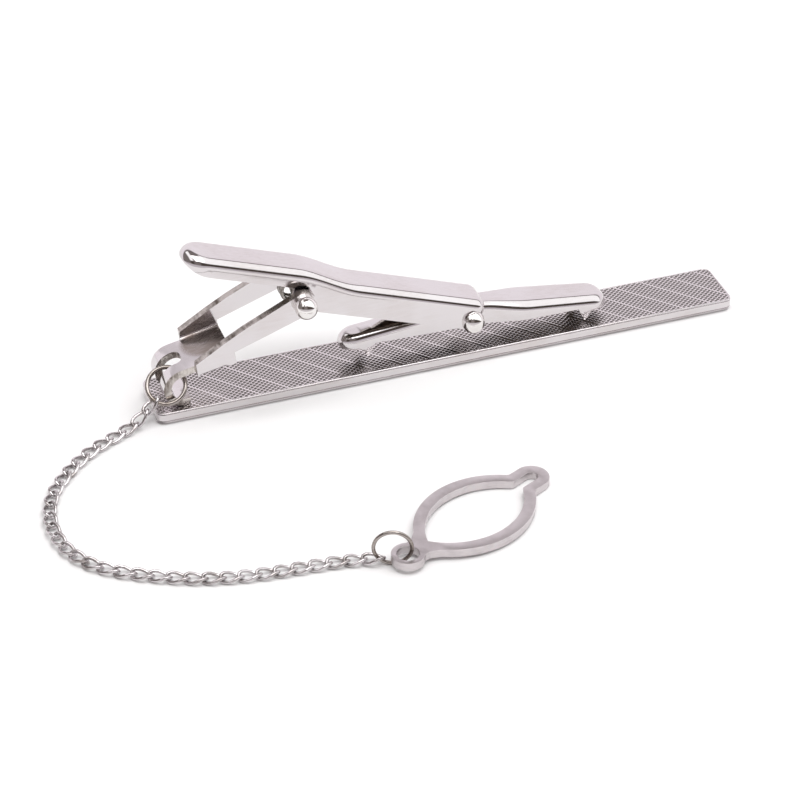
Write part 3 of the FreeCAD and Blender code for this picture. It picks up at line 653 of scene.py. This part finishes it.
def make_world():
    """Studio surround: a pale wall behind, two white panels overhead in a dim room, and a grey front."""
    world = bpy.data.worlds.new("studio")
    bpy.context.scene.world = world
    world.use_nodes = True
    tree = world.node_tree
    place = tree.nodes.new("ShaderNodeTexCoord")
    turned = tree.nodes.new("ShaderNodeVectorRotate")
    turned.rotation_type = "Z_AXIS"
    turned.inputs["Angle"].default_value = math.radians(CAMERA_TURN)
    tree.links.new(place.outputs["Generated"], turned.inputs["Vector"])
    split = tree.nodes.new("ShaderNodeSeparateXYZ")
    tree.links.new(turned.outputs["Vector"], split.inputs["Vector"])
    arch = math_node(tree, "ARCTAN2", split.outputs["Z"], split.outputs["Y"])
    arch = math_node(tree, "DIVIDE", arch, math.pi)
    across = math_node(tree, "MULTIPLY", math_node(tree, "ADD", split.outputs["X"], 1), 0.5)
    behind = [(0.0, WALL_COLOR), (WALL_END, WALL_COLOR), (GAP_START, GAP_COLOR)]
    unlit = [(DIM_START, DIM_COLOR), (ROOM_END, DIM_COLOR)]
    panel = [(GAP_END, GAP_COLOR), (PANEL_START, CEILING_COLOR), (PANEL_END, CEILING_COLOR),
             (ROOM_START, ROOM_COLOR), (ROOM_END, ROOM_COLOR)]
    front = [(FRONT_START, FRONT_COLOR), (1.0, FRONT_COLOR)]
    dim = color_ramp(tree, arch, behind + unlit + front)
    lit = color_ramp(tree, arch, behind + panel + front)
    panels = color_ramp(tree, across, [(edge, (white, white, white)) for edge, white in PANEL_EDGES])
    background = tree.nodes["Background"]
    tree.links.new(blend_colors(tree, panels, dim, lit), background.inputs["Color"])
    background.inputs["Strength"].default_value = WORLD_STRENGTH


def sink_loop(bar, height, inset):
    """Draw the bar's outline at a height inwards."""
    choose_vertices(bar, lambda place: near(place.z, height))
    stretch(x=1 - 2 * inset / BAR_LENGTH, y=1 - 2 * inset / BAR_WIDTH)


def on_outline(place):
    """Whether a point of the bar's upper face lies on its outer edge, not on the rim's inner one."""
    x = abs(place.x) - (BAR_LENGTH / 2 - BAR_CORNER)
    y = abs(place.y) - (BAR_WIDTH / 2 - BAR_CORNER)
    return math.hypot(max(x, 0), max(y, 0)) > BAR_CORNER - RIM_WIDTH / 2


def make_bar_body():
    """Solid bar: rounded corners, a bevel round the show face, and a pocket inside a rim on the back."""
    bar = begin("tie_bar_piece", bpy.ops.mesh.primitive_cube_add, size=1)
    move(z=0.5)
    stretch(BAR_LENGTH, BAR_WIDTH, BAR_THICKNESS)
    choose_edges(bar, lambda a, b: not near(a.z, b.z))
    bpy.ops.mesh.bevel(offset=BAR_CORNER, segments=6)
    for height in (BAR_BEVEL_HEIGHT, BAR_THICKNESS - SEAM_DROP):
        for line in spread(height, height + BAR_LINE_WIDTH, 2):
            cut((0, 0, line), (0, 0, 1))
        sink_loop(bar, height + BAR_LINE_WIDTH / 2, BAR_LINE_DEPTH)
    sink_loop(bar, 0, BAR_BEVEL_INSET)
    choose_edges(bar, lambda a, b: near(a.z, 0) and near(b.z, 0))
    bpy.ops.mesh.bevel(offset=RIM_ROUNDING, segments=3)
    choose_faces(bar, lambda middle, normal: near(middle.z, BAR_THICKNESS))
    bpy.ops.mesh.inset(thickness=RIM_WIDTH)
    extrude(z=-POCKET_DEPTH)
    for outer, rounding in ((False, RIM_INNER_ROUNDING), (True, RIM_ROUNDING)):
        choose_edges(bar, lambda a, b: near(a.z, BAR_THICKNESS) and near(b.z, BAR_THICKNESS)
                     and on_outline(a) == outer and on_outline(b) == outer)
        bpy.ops.mesh.bevel(offset=rounding, segments=4)
    return bar


def make_hatch():
    """Sheet of crossed ridges, every sixth of one set wide: a tile, repeated, turned and cut to the rim."""
    side = HATCH_LINES * HATCH_PITCH
    sheet = begin("hatch", bpy.ops.mesh.primitive_grid_add, size=side,
                  x_subdivisions=HATCH_STEPS * HATCH_LINES, y_subdivisions=HATCH_STEPS * HATCH_LINES)
    crests = [(line + 0.5) * HATCH_PITCH - side / 2 for line in range(HATCH_LINES)]
    shoulders = [crests[-1] - HATCH_PITCH / HATCH_STEPS, crests[-1] + HATCH_PITCH / HATCH_STEPS]

    def on_crest(place):
        return any(near(value, crest) for value in (place.x, place.y) for crest in crests)

    def on_shoulder(place):
        return any(near(place.x, shoulder) for shoulder in shoulders) and not on_crest(place)

    choose_vertices(sheet, on_crest)
    move(z=HATCH_DEPTH)
    choose_vertices(sheet, on_shoulder)
    move(z=HATCH_SHOULDER * HATCH_DEPTH)
    for offset in ((1, 0, 0), (0, 1, 0)):
        add_modifier(sheet, "ARRAY", count=HATCH_TILES, relative_offset_displace=offset)
    choose_all()
    middle = -(HATCH_TILES - 1) * side / 2
    move(middle, middle, BAR_THICKNESS - HATCH_SINK - HATCH_DEPTH)
    turn(HATCH_LEAN, "Z")
    stretch(*HATCH_SQUEEZE)
    turn(-HATCH_TURN, "Z")
    x = BAR_LENGTH / 2 - RIM_WIDTH
    y = BAR_WIDTH / 2 - RIM_WIDTH
    for way in (-1, 1):
        cut((0, way * y, 0), (0, way, 0), clear=True)
        cut((way * x, 0, 0), (way, 0, 0), clear=True)
    for way in ((1, 1, 0), (1, -1, 0), (-1, 1, 0), (-1, -1, 0)):
        corner = Vector(way) * (1 - math.sqrt(0.5)) * (BAR_CORNER - RIM_WIDTH)
        cut(Vector((way[0] * x, way[1] * y, 0)) - corner, way, clear=True)
    choose_all()
    bpy.ops.mesh.remove_doubles(threshold=MERGE_NEAR)
    return sheet


def make_bar(body_material, hatch_material):
    """Hatched bar: the crossed ridges lie in a polished body."""
    sheet = make_hatch()
    bpy.ops.object.mode_set(mode="OBJECT")
    dress(sheet, [hatch_material])
    bar = make_bar_body()
    dress(bar, [body_material])
    join(bar, sheet)
    finish(bar, "frame", "hatched_nickel", "tie_bar")


def begin_channel(name, materials, left, right, width, deep, top, segments, rounding):
    """Channel with a rounded back, open below; left and right are an end with its corners' radius."""
    channel = begin(name, bpy.ops.mesh.primitive_cube_add, size=1)
    dress(channel, materials)
    stretch(right[0] - left[0], width, top - deep)
    move((right[0] + left[0]) / 2, 0, (top + deep) / 2)
    for end, radius in (left, right):
        choose_edges(channel, lambda a, b: near(a.x, end) and near(b.x, end) and not near(a.z, b.z))
        bpy.ops.mesh.bevel(offset=radius, segments=segments)
    choose_faces(channel, lambda middle, normal: normal.z < -FACING)
    bpy.ops.mesh.delete(type="FACE")
    choose_edges(channel, lambda a, b: near(a.z, top) and near(b.z, top))
    bpy.ops.mesh.bevel(offset=rounding, segments=8)
    return channel


def press(channel, sheet, rounding):
    """Give a channel its sheet's thickness and soft edges."""
    # The inner shell takes the second material, which carries the painted shade of the inside
    add_modifier(channel, "SOLIDIFY", thickness=sheet, offset=-1, use_quality_normals=True,
                 material_offset=1, material_offset_rim=2)
    round_edges(channel, rounding)


def set_down(tilt, place):
    """Tilt the piece in edit mode about its pin and bring the pin to its place."""
    choose_all()
    turn(tilt, "Y")
    move(place[0], 0, place[1])


def lever_drop(x):
    """How far the lever's back lies below its tail, along an S-shaped step."""
    return (TAIL_TOP - HEAD_TOP) * ease(x, STEP_START, STEP_END)


def lever_low(x):
    """Height of the lever's lower edge: raised nose, tail, ear on the pin, flange and ear on the rivet."""
    if x < LEVER_TAIL + NOSE_RUN:
        radius = (NOSE_RUN ** 2 + NOSE_RISE ** 2) / (2 * NOSE_RISE)
        run = min(LEVER_TAIL + NOSE_RUN - x, NOSE_RUN)
        return TAIL_LOW + radius - math.sqrt(radius ** 2 - run ** 2)
    if x < -EAR_RADIUS:
        return TAIL_LOW
    low = FLANGE_LOW
    if x < FLANGE_START:
        low *= (x + EAR_RADIUS) / (FLANGE_START + EAR_RADIUS)
    if abs(x) <= EAR_RADIUS:
        low = min(low, -math.sqrt(EAR_RADIUS ** 2 - x ** 2))
    reach = x - JAW_PIN[0]
    if abs(reach) < JAW_EAR_RADIUS:
        low = min(low, JAW_PIN[1] - math.sqrt(JAW_EAR_RADIUS ** 2 - reach ** 2))
    return low


def make_lever(*materials):
    """Lever: a pressed channel with a round nose, a step over the hinge, and ears for both pins."""
    lever = begin_channel("lever_piece", materials, (LEVER_TAIL, TAIL_CORNER), (LEVER_HEAD, HEAD_CORNER),
                          LEVER_WIDTH, LEVER_DEEP, TAIL_TOP, segments=14, rounding=LEVER_ROUNDING)
    nose = spread(LEVER_TAIL + NOSE_FIRST_COLUMN, LEVER_TAIL + NOSE_RUN, 4)
    ear = [-EAR_RADIUS - EAR_STEP] + round_places(0, EAR_RADIUS, range(165, -1, -15))
    jaw_ear = round_places(JAW_PIN[0], JAW_EAR_RADIUS, range(180, 90, -15))
    cut_columns(nose + ear + jaw_ear + [FLANGE_START] + spread(STEP_START, STEP_END, 16))
    shift_columns(lever, lambda place: place.z > LEVER_DEEP + NEAR and place.x > STEP_START,
                  lambda x: -lever_drop(x))
    shift_columns(lever, lambda place: near(place.z, LEVER_DEEP), lambda x: lever_low(x) - LEVER_DEEP)
    press(lever, LEVER_SHEET, LEVER_EDGE_ROUNDING)
    set_down(LEVER_SLOPE, PIVOT)
    finish(lever, "lever", "polished_nickel", "lever")


def jaw_roof(x):
    """Height of the jaw's roof, which falls both ways from a soft ridge over the rivet."""
    slope = math.radians(JAW_ROOF_SLOPE)
    soft = JAW_APEX_RADIUS * math.sin(slope)
    if abs(x) >= soft:
        return JAW_APEX - abs(x) * math.tan(slope)
    edge = JAW_APEX - soft * math.tan(slope)
    return edge - JAW_APEX_RADIUS * math.cos(slope) + math.sqrt(JAW_APEX_RADIUS ** 2 - x ** 2)


def jaw_half_width(x):
    """Half the jaw's width: slim inside the lever, broad in front of it."""
    taper = max(x - JAW_FLARE_END, 0) / (JAW_RIGHT - JAW_FLARE_END)
    broad = JAW_FRONT_HALF_WIDTH + (JAW_END_HALF_WIDTH - JAW_FRONT_HALF_WIDTH) * taper
    return JAW_HALF_WIDTH + (broad - JAW_HALF_WIDTH) * ease(x, JAW_FLARE_START, JAW_FLARE_END)


def jaw_low(x):
    """Height of the jaw's lower edge, with a tooth near each end and rounded end corners."""
    end = max(JAW_LEFT - x, x - JAW_RIGHT) + JAW_NOSE_RADIUS
    if end > 0:
        rise = JAW_NOSE_RADIUS - math.sqrt(max(JAW_NOSE_RADIUS ** 2 - end ** 2, 0))
        return JAW_NOSE_LOW + rise
    for place in TOOTH_PLACES:
        reach = abs(x - place)
        beyond = abs(x) > abs(place)
        foot = JAW_NOSE_LOW if beyond else JAW_LOW
        if reach < TOOTH_HALF_WIDTH:
            return foot + (TOOTH_TIP - foot) * (1 - reach / TOOTH_HALF_WIDTH) ** TOOTH_FULLNESS
        if beyond and x * place > 0:
            return foot
    return JAW_LOW


def make_jaw(*materials):
    """Jaw: a slim pressed channel with a tooth under each end."""
    jaw = begin_channel("jaw_piece", materials, (JAW_LEFT, JAW_END_ROUNDING), (JAW_RIGHT, JAW_END_ROUNDING),
                        2 * JAW_END_HALF_WIDTH, JAW_DEEP, JAW_APEX, segments=12, rounding=JAW_ROUNDING)
    cut_columns([place + TOOTH_HALF_WIDTH * part for place in TOOTH_PLACES for part in TOOTH_COLUMNS])
    for span in JAW_COLUMNS:
        cut_columns(spread(*span))
    for low, high in columns(jaw, lambda place: True):
        choose_vertices(jaw, lambda place: low <= place.x <= high)
        stretch(y=jaw_half_width((low + high) / 2) / JAW_END_HALF_WIDTH)
    shift_columns(jaw, lambda place: place.z > JAW_DEEP + NEAR, lambda x: jaw_roof(x) - JAW_APEX)
    shift_columns(jaw, lambda place: near(place.z, JAW_DEEP), lambda x: jaw_low(x) - JAW_DEEP)
    press(jaw, JAW_SHEET, JAW_EDGE_ROUNDING)
    set_down(JAW_TILT, JAW_PLACE)
    finish(jaw, "jaw", "polished_nickel", "jaw")


def web_height(x):
    """Height of the web's upper face."""
    slope = math.radians(WEB_SLOPE)
    x_touch = BEND[0] - BEND_RADIUS * math.sin(slope)
    return BEND[1] + BEND_RADIUS * math.cos(slope) + (x - x_touch) * math.tan(slope)


def along_line(x, start, end):
    """Height at x of the straight line through two points."""
    return start[1] + (end[1] - start[1]) * (x - start[0]) / (end[0] - start[0])


def lug_touch(outside, side):
    """Where the tangent from a point touches the lug's circle; side 1 is above, -1 below."""
    run = PIVOT[0] - outside[0]
    rise = PIVOT[1] - outside[1]
    turned = math.atan2(rise, run) + side * (math.pi - math.acos(LUG_RADIUS / math.hypot(run, rise)))
    return PIVOT[0] + LUG_RADIUS * math.cos(turned), PIVOT[1] + LUG_RADIUS * math.sin(turned)


def arm_top(x):
    """Height of an arm's upper edge from its heel to its lug."""
    if x < KNEE[0]:
        return along_line(x, (HEEL_X, HEEL_TOP), KNEE)
    if x < SHOULDER[0]:
        return along_line(x, KNEE, SHOULDER)
    touch = lug_touch(SHOULDER, 1)
    if x < touch[0]:
        return along_line(x, SHOULDER, touch)
    return PIVOT[1] + math.sqrt(max(LUG_RADIUS ** 2 - (x - PIVOT[0]) ** 2, 0))


def arm_low(x):
    """Height of the free part of an arm's lower edge, from the step to the lug."""
    step = (TOE_X, STEP_HEIGHT)
    touch = lug_touch(step, -1)
    if x < touch[0]:
        return along_line(x, step, touch)
    return PIVOT[1] - math.sqrt(max(LUG_RADIUS ** 2 - (x - PIVOT[0]) ** 2, 0))


def make_half_strip():
    """Half of the strip's outer face: foot, U-bend spun about its centre, and web."""
    half = begin("hinge_bracket_piece", bpy.ops.mesh.primitive_plane_add, size=1)
    stretch(FOOT_LENGTH, NECK_HALF_WIDTH)
    move(BEND[0] + FOOT_LENGTH / 2, NECK_HALF_WIDTH / 2, BEND[1] - BEND_RADIUS)
    bpy.ops.mesh.flip_normals()
    choose_edges(half, lambda a, b: near(a.x, BEND[0]) and near(b.x, BEND[0]))
    bpy.ops.mesh.spin(steps=28, angle=math.radians(180 - WEB_SLOPE), center=(BEND[0], 0, BEND[1]),
                      axis=(0, -1, 0))
    start = BEND[0] - BEND_RADIUS * math.sin(math.radians(WEB_SLOPE))
    for x in (SLOT_END, HEEL_X):
        extrude(x - start, 0, web_height(x) - web_height(start))
        start = x
    return half


def cut_slot(half):
    """Open half of the slot through the bend, with a rounded end on the web."""
    cut((0, 0, SLOT_LOW), (0, 0, 1))
    choose_faces(half, lambda middle, normal: middle.y < SLOT_HALF_WIDTH
                 and middle.z > SLOT_LOW and middle.x < SLOT_END)
    bpy.ops.mesh.delete(type="FACE")
    choose_vertices(half, lambda place: near(place.x, SLOT_END) and near(place.y, SLOT_HALF_WIDTH))
    bpy.ops.mesh.bevel(offset=SLOT_END_ROUNDING, segments=5, affect="VERTICES")


def add_web(half):
    """Lay the broad part of the web against the neck."""
    bpy.ops.mesh.primitive_plane_add(size=1, location=(0, 0, 0))
    stretch(TOE_X - HEEL_X, ARM_INSIDE)
    move((TOE_X + HEEL_X) / 2, ARM_INSIDE / 2, web_height(HEEL_X))
    choose_vertices(half, lambda place: near(place.x, TOE_X))
    move(z=web_height(TOE_X) - web_height(HEEL_X))


def raise_arm(half):
    """Fold one arm up from the web's edge and carry it out to the lug on the lever pin."""
    cut_columns([HEEL_X + run for run in HEEL_COLUMNS] + [KNEE[0]])
    choose_edges(half, lambda a, b: near(a.y, ARM_INSIDE) and near(b.y, ARM_INSIDE))
    step = STEP_HEIGHT - web_height(TOE_X)
    extrude(z=step)
    extrude(z=step)
    shift_columns(half, lambda place: near(place.z, web_height(place.x) + 2 * step),
                  lambda x: arm_top(x) - web_height(x) - 2 * step)
    top = arm_top(TOE_X)
    choose_edges(half, lambda a, b: near(a.x, TOE_X) and near(b.x, TOE_X)
                 and min(a.z, b.z) > STEP_HEIGHT - NEAR)
    arm = spread(SHOULDER[0], PIVOT[0] - LUG_RADIUS, 4)[:-1]
    lug = round_places(PIVOT[0], LUG_RADIUS, range(170, 0, -10))
    start = TOE_X
    for x in arm + lug + [PIVOT[0] + LUG_LAST_COLUMN * LUG_RADIUS]:
        extrude(x=x - start)
        start = x
    shift_columns(half, lambda place: place.x > TOE_X + NEAR and near(place.z, STEP_HEIGHT),
                  lambda x: arm_low(x) - STEP_HEIGHT)
    shift_columns(half, lambda place: place.x > TOE_X + NEAR and near(place.z, top),
                  lambda x: arm_top(x) - top)


def make_bracket(*materials):
    """Bracket folded from one strip, mirrored from its half and given the sheet's thickness."""
    bracket = make_half_strip()
    dress(bracket, materials)
    add_web(bracket)
    cut((0, NECK_HALF_WIDTH, 0), (0, 1, 0))
    cut((0, SLOT_HALF_WIDTH, 0), (0, 1, 0))
    choose_all()
    bpy.ops.mesh.remove_doubles(threshold=NEAR)
    cut_slot(bracket)
    raise_arm(bracket)
    mirror(bracket)
    bpy.ops.mesh.normals_make_consistent(inside=False)
    add_modifier(bracket, "SOLIDIFY", thickness=BRACKET_SHEET, offset=-1, use_even_offset=True,
                 material_offset_rim=1)
    choose_edges(bracket, lambda a, b: near(abs(a.y), ARM_OUTSIDE) and near(abs(b.y), ARM_OUTSIDE)
                 and a.z < web_height(a.x) and b.z < web_height(b.x) and not near(a.x, b.x))
    bpy.ops.mesh.bevel(offset=FOLD_ROUNDING, segments=4)
    choose_edges(bracket, lambda a, b: near(abs(a.y), ARM_INSIDE) and near(abs(b.y), ARM_INSIDE)
                 and near(a.z, web_height(a.x)) and near(b.z, web_height(b.x)))
    bpy.ops.mesh.bevel(offset=FOLD_INNER_ROUNDING, segments=5)
    round_edges(bracket, BRACKET_EDGE_ROUNDING)
    finish(bracket, "frame", "polished_nickel", "hinge_bracket")


def begin_pin(name, radius, middle, seat):
    """Ball about a middle on the Y axis, cut flat at its seat: one head of a pin."""
    pin = begin(name, bpy.ops.mesh.primitive_uv_sphere_add, radius=radius, segments=48, ring_count=24)
    turn(90, "X")
    move(y=middle)
    cut((0, seat, 0), (0, -1, 0), clear=True)
    bpy.ops.mesh.edge_face_add()
    return pin


def end_pin(pin, seat, seat_radius, place, body, node, material):
    """Draw the shaft out of a head's seat, mirror both, and bring the pin to its place."""
    choose_faces(pin, lambda middle, normal: normal.y < -FACING and middle.y < seat + NEAR)
    bpy.ops.mesh.inset(thickness=seat_radius - PIN_RADIUS)
    extrude(y=-seat)
    bpy.ops.mesh.delete(type="FACE")
    mirror(pin)
    move(place[0], 0, place[1])
    bpy.ops.mesh.normals_make_consistent(inside=False)
    dress(pin, [material])
    finish(pin, body, "pin_nickel", node)


def make_lever_pin(material):
    """Lever pin: a shaft with a ball head seated on the outside of each arm."""
    pin = begin_pin("lever_pin_piece", PIN_BALL_RADIUS, ARM_OUTSIDE + PIN_BALL_STANDOFF, ARM_OUTSIDE)
    seat_radius = math.sqrt(PIN_BALL_RADIUS ** 2 - PIN_BALL_STANDOFF ** 2)
    end_pin(pin, ARM_OUTSIDE, seat_radius, PIVOT, "frame", "lever_pin", material)


def make_jaw_pin(material):
    """Rivet of the jaw: a round head on each flange of the lever, peened flat on its lower side."""
    dome = (RIVET_HEAD_RADIUS ** 2 + RIVET_HEAD_HEIGHT ** 2) / (2 * RIVET_HEAD_HEIGHT)
    seat = LEVER_WIDTH / 2
    middle = seat + RIVET_HEAD_HEIGHT - dome
    pin = begin_pin("jaw_pin_piece", dome, middle, seat)
    facet = Vector((0, math.cos(math.radians(FACET_LEAN)), -math.sin(math.radians(FACET_LEAN))))
    cut(facet * FACET_REACH + Vector((0, middle, 0)), facet, clear=True)
    bpy.ops.mesh.edge_face_add()
    end_pin(pin, seat, RIVET_HEAD_RADIUS, JAW_PLACE, "lever", "jaw_pin", material)


def middle_of(node):
    """Middle of a node's box in millimetres."""
    low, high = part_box(node)
    return (Vector(low) + Vector(high)) / 2 / MM


def make_ring(node, diameter, wire, facing, material):
    """Jump ring bent from round wire, with the fine split where its ends meet."""
    ring = begin(node + "_piece", bpy.ops.mesh.primitive_torus_add, major_radius=(diameter - wire) / 2,
                 minor_radius=wire / 2, major_segments=72, minor_segments=16)
    for side in (-1, 1):
        choose_vertices(ring, lambda place: place.x > 0)
        bpy.ops.mesh.bisect(plane_co=(0, side * RING_SPLIT / 2, 0), plane_no=(0, 1, 0), threshold=CUT_NEAR)
    choose_faces(ring, lambda middle, normal: middle.x > 0 and abs(middle.y) < RING_SPLIT / 2)
    bpy.ops.mesh.delete(type="FACE")
    choose_all()
    bpy.ops.mesh.fill_holes(sides=0)
    choose_all()
    way = Vector(facing).normalized()
    turn(math.degrees(math.acos(way.z)), "Y")
    turn(math.degrees(math.atan2(way.y, way.x)), "Z")
    move(*middle_of(node))
    dress(ring, [material])
    finish(ring, node, "chain_nickel", node)


def copy_of(node):
    """Merged copy of a node's mesh, in millimetres and open in edit mode."""
    piece = bpy.data.objects.new(node + "_piece", frame["nodes"][node].data.copy())
    bpy.context.scene.collection.objects.link(piece)
    bpy.ops.object.select_all(action="DESELECT")
    piece.select_set(True)
    bpy.context.view_layer.objects.active = piece
    bpy.ops.object.mode_set(mode="EDIT")
    choose_all()
    stretch(1 / MM, 1 / MM, 1 / MM)
    bpy.ops.mesh.remove_doubles(threshold=MERGE_NEAR)
    return piece


def make_link(node, body, material):
    """Chain link of flat-sided wire, its edges rubbed round."""
    link = copy_of(node)
    angle = math.radians(LINK_QUAD_ANGLE)
    bpy.ops.mesh.tris_convert_to_quads(face_threshold=angle, shape_threshold=angle)
    bpy.ops.mesh.bevel(offset=LINK_EDGE_ROUNDING, segments=2)
    dress(link, [material])
    finish(link, body, "chain_nickel", node)


def arc_height(x, half_length, half_width):
    """Half width at x of a pointed oval, from its half length and half width."""
    radius = (half_length ** 2 + half_width ** 2) / (2 * half_width)
    run = abs(x - LENS_MIDDLE)
    return math.sqrt(radius ** 2 - run ** 2) - radius + half_width if run < half_length else 0


def round_height(x, middle, radius):
    """Half width at x of a disc."""
    return math.sqrt(max(radius ** 2 - (x - middle) ** 2, 0))


def loop_outer(x):
    """Half width of the loop's outline: tab, neck, oval and nub."""
    half = max(round_height(x, 0, TAB_RADIUS), arc_height(x, *LENS_OUTER))
    if 0 < x < LENS_MIDDLE:
        half = max(half, TAB_NECK)
    if LENS_MIDDLE < x < NUB_END - NUB_RADIUS:
        half = max(half, NUB_RADIUS)
    return max(half, round_height(x, NUB_END - NUB_RADIUS, NUB_RADIUS))


def loop_inner(x):
    """Half width of the loop's openings: tab hole, oval and nub slot."""
    half = max(round_height(x, 0, TAB_HOLE_RADIUS), arc_height(x, *LENS_INNER))
    if LENS_MIDDLE < x < NUB_END - NUB_RADIUS:
        half = max(half, NUB_SLOT)
    return max(half, round_height(x, NUB_END - NUB_RADIUS, NUB_SLOT))


def make_button_loop(material):
    """Button loop: half its outline drawn in columns, mirrored, thickened and rubbed round."""
    nub = NUB_END - NUB_RADIUS
    places = []
    for middle, radius in ((0, TAB_RADIUS), (0, TAB_HOLE_RADIUS), (nub, NUB_SLOT), (nub, NUB_RADIUS)):
        places += round_places(middle, radius, range(0, 181, 12))
    places += spread(LENS_MIDDLE - LENS_INNER[0], LENS_MIDDLE + LENS_INNER[0], 40)
    places = sorted({round(x, 2) for x in places})
    loop = begin("button_loop_piece", bpy.ops.mesh.primitive_grid_add, size=1,
                 x_subdivisions=len(places) - 1, y_subdivisions=1)
    spans = columns(loop, lambda place: True)
    # Each column of the grid, 1 wide, is set aside as it is shaped, clear of those that still wait
    for (low, high), x in reversed(list(zip(spans, places))):
        choose_vertices(loop, lambda place: low <= place.x <= high and place.y > 0)
        move(x + LOOP_ASIDE - low, loop_outer(x) - 0.5)
        choose_vertices(loop, lambda place: low <= place.x <= high and place.y < 0)
        move(x + LOOP_ASIDE - low, loop_inner(x) + 0.5)
    choose_all()
    move(x=-LOOP_ASIDE)
    mirror(loop)
    bpy.ops.mesh.remove_doubles(threshold=NEAR)
    bpy.ops.mesh.normals_make_consistent(inside=False)
    add_modifier(loop, "SOLIDIFY", thickness=LOOP_SHEET, offset=1)
    round_edges(loop, LOOP_EDGE_ROUNDING, segments=4)
    choose_all()
    tilt = math.asin(LOOP_TAB_LIFT / NUB_END)
    move(x=-NUB_END)
    turn(math.degrees(tilt), "Y")
    move(x=NUB_END * math.cos(tilt))
    turn(LOOP_TURN, "Z")
    move(*LOOP_PLACE)
    dress(loop, [material])
    finish(loop, "button_loop", "satin_nickel", "button_loop")


def make_spring(material):
    """Torsion spring, its turns wound between the bracket and the lever."""
    spring = copy_of("torsion_spring")
    smooth(SPRING_SMOOTH_ANGLE)
    dress(spring, [material])
    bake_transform(spring)
    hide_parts("torsion_spring")


make_camera()
make_floor()
make_world()
make_lamp()

polish_wear = make_wear_group("polish_wear", patch_size=6 * MM,
                              grain_size=0.2 * MM, grain_stretch=(0.1, 1, 1))
drawn_wear = make_wear_group("drawn_wear", patch_size=1.5 * MM,
                             grain_size=0.1 * MM, grain_stretch=(0.15, 0.15, 1))
sheared_wear = make_wear_group("sheared_wear", patch_size=0.9 * MM,
                               grain_size=0.25 * MM, grain_stretch=(1, 0.1, 0.1))
finishes = {
    "hatched_nickel": hatched_metal("hatched_nickel", polish_wear),
    "polished_nickel": metal("polished_nickel", polish_wear, *POLISHED, relief=0.02),
    "pin_nickel": metal("pin_nickel", polish_wear, *PINS, relief=0.02),
    "spring_wire": metal("spring_wire", drawn_wear, *WIRE, relief=0.2),
    "chain_nickel": metal("chain_nickel", drawn_wear, *CHAIN, relief=0.1),
    "satin_nickel": metal("satin_nickel", drawn_wear, *SATIN, relief=0.2),
}
# Painted shade for the insides of the lever and the jaw
dull_shaded_inside = metal("dull_shaded_inside", sheared_wear, *SHADED_INSIDE, relief=0.3)
ring_nickel = metal("ring_nickel", drawn_wear, *RINGS, relief=0.1)
bracket_nickel = shaded_metal("bracket_nickel", polish_wear, *POLISHED, relief=0.02)
sheared_edge = metal("sheared_edge", sheared_wear, *SHEARED, relief=0.5)
for subpart in frame["record"]["subparts"]:
    node = frame["nodes"][subpart["node"]]
    dress(node, [finishes[subpart["material_slot"]]])

make_bar(finishes["polished_nickel"], finishes["hatched_nickel"])
make_lever(finishes["polished_nickel"], dull_shaded_inside, sheared_edge)
make_jaw(finishes["polished_nickel"], dull_shaded_inside, sheared_edge)
make_bracket(bracket_nickel, sheared_edge)
make_lever_pin(finishes["pin_nickel"])
make_jaw_pin(finishes["pin_nickel"])
make_ring("eye_ring", EYE_RING_DIAMETER, EYE_RING_WIRE, EYE_RING_FACING, ring_nickel)
make_ring("loop_ring", LOOP_RING_DIAMETER, LOOP_RING_WIRE, LOOP_RING_FACING, ring_nickel)
make_button_loop(finishes["satin_nickel"])
make_spring(finishes["spring_wire"])
for body, nodes in frame["record"]["behaviour"]["bodies"].items():
    for node in nodes:
        if node.startswith("chain_link"):
            make_link(node, body, finishes["chain_nickel"])

bpy.context.scene.view_settings.view_transform = "Standard"
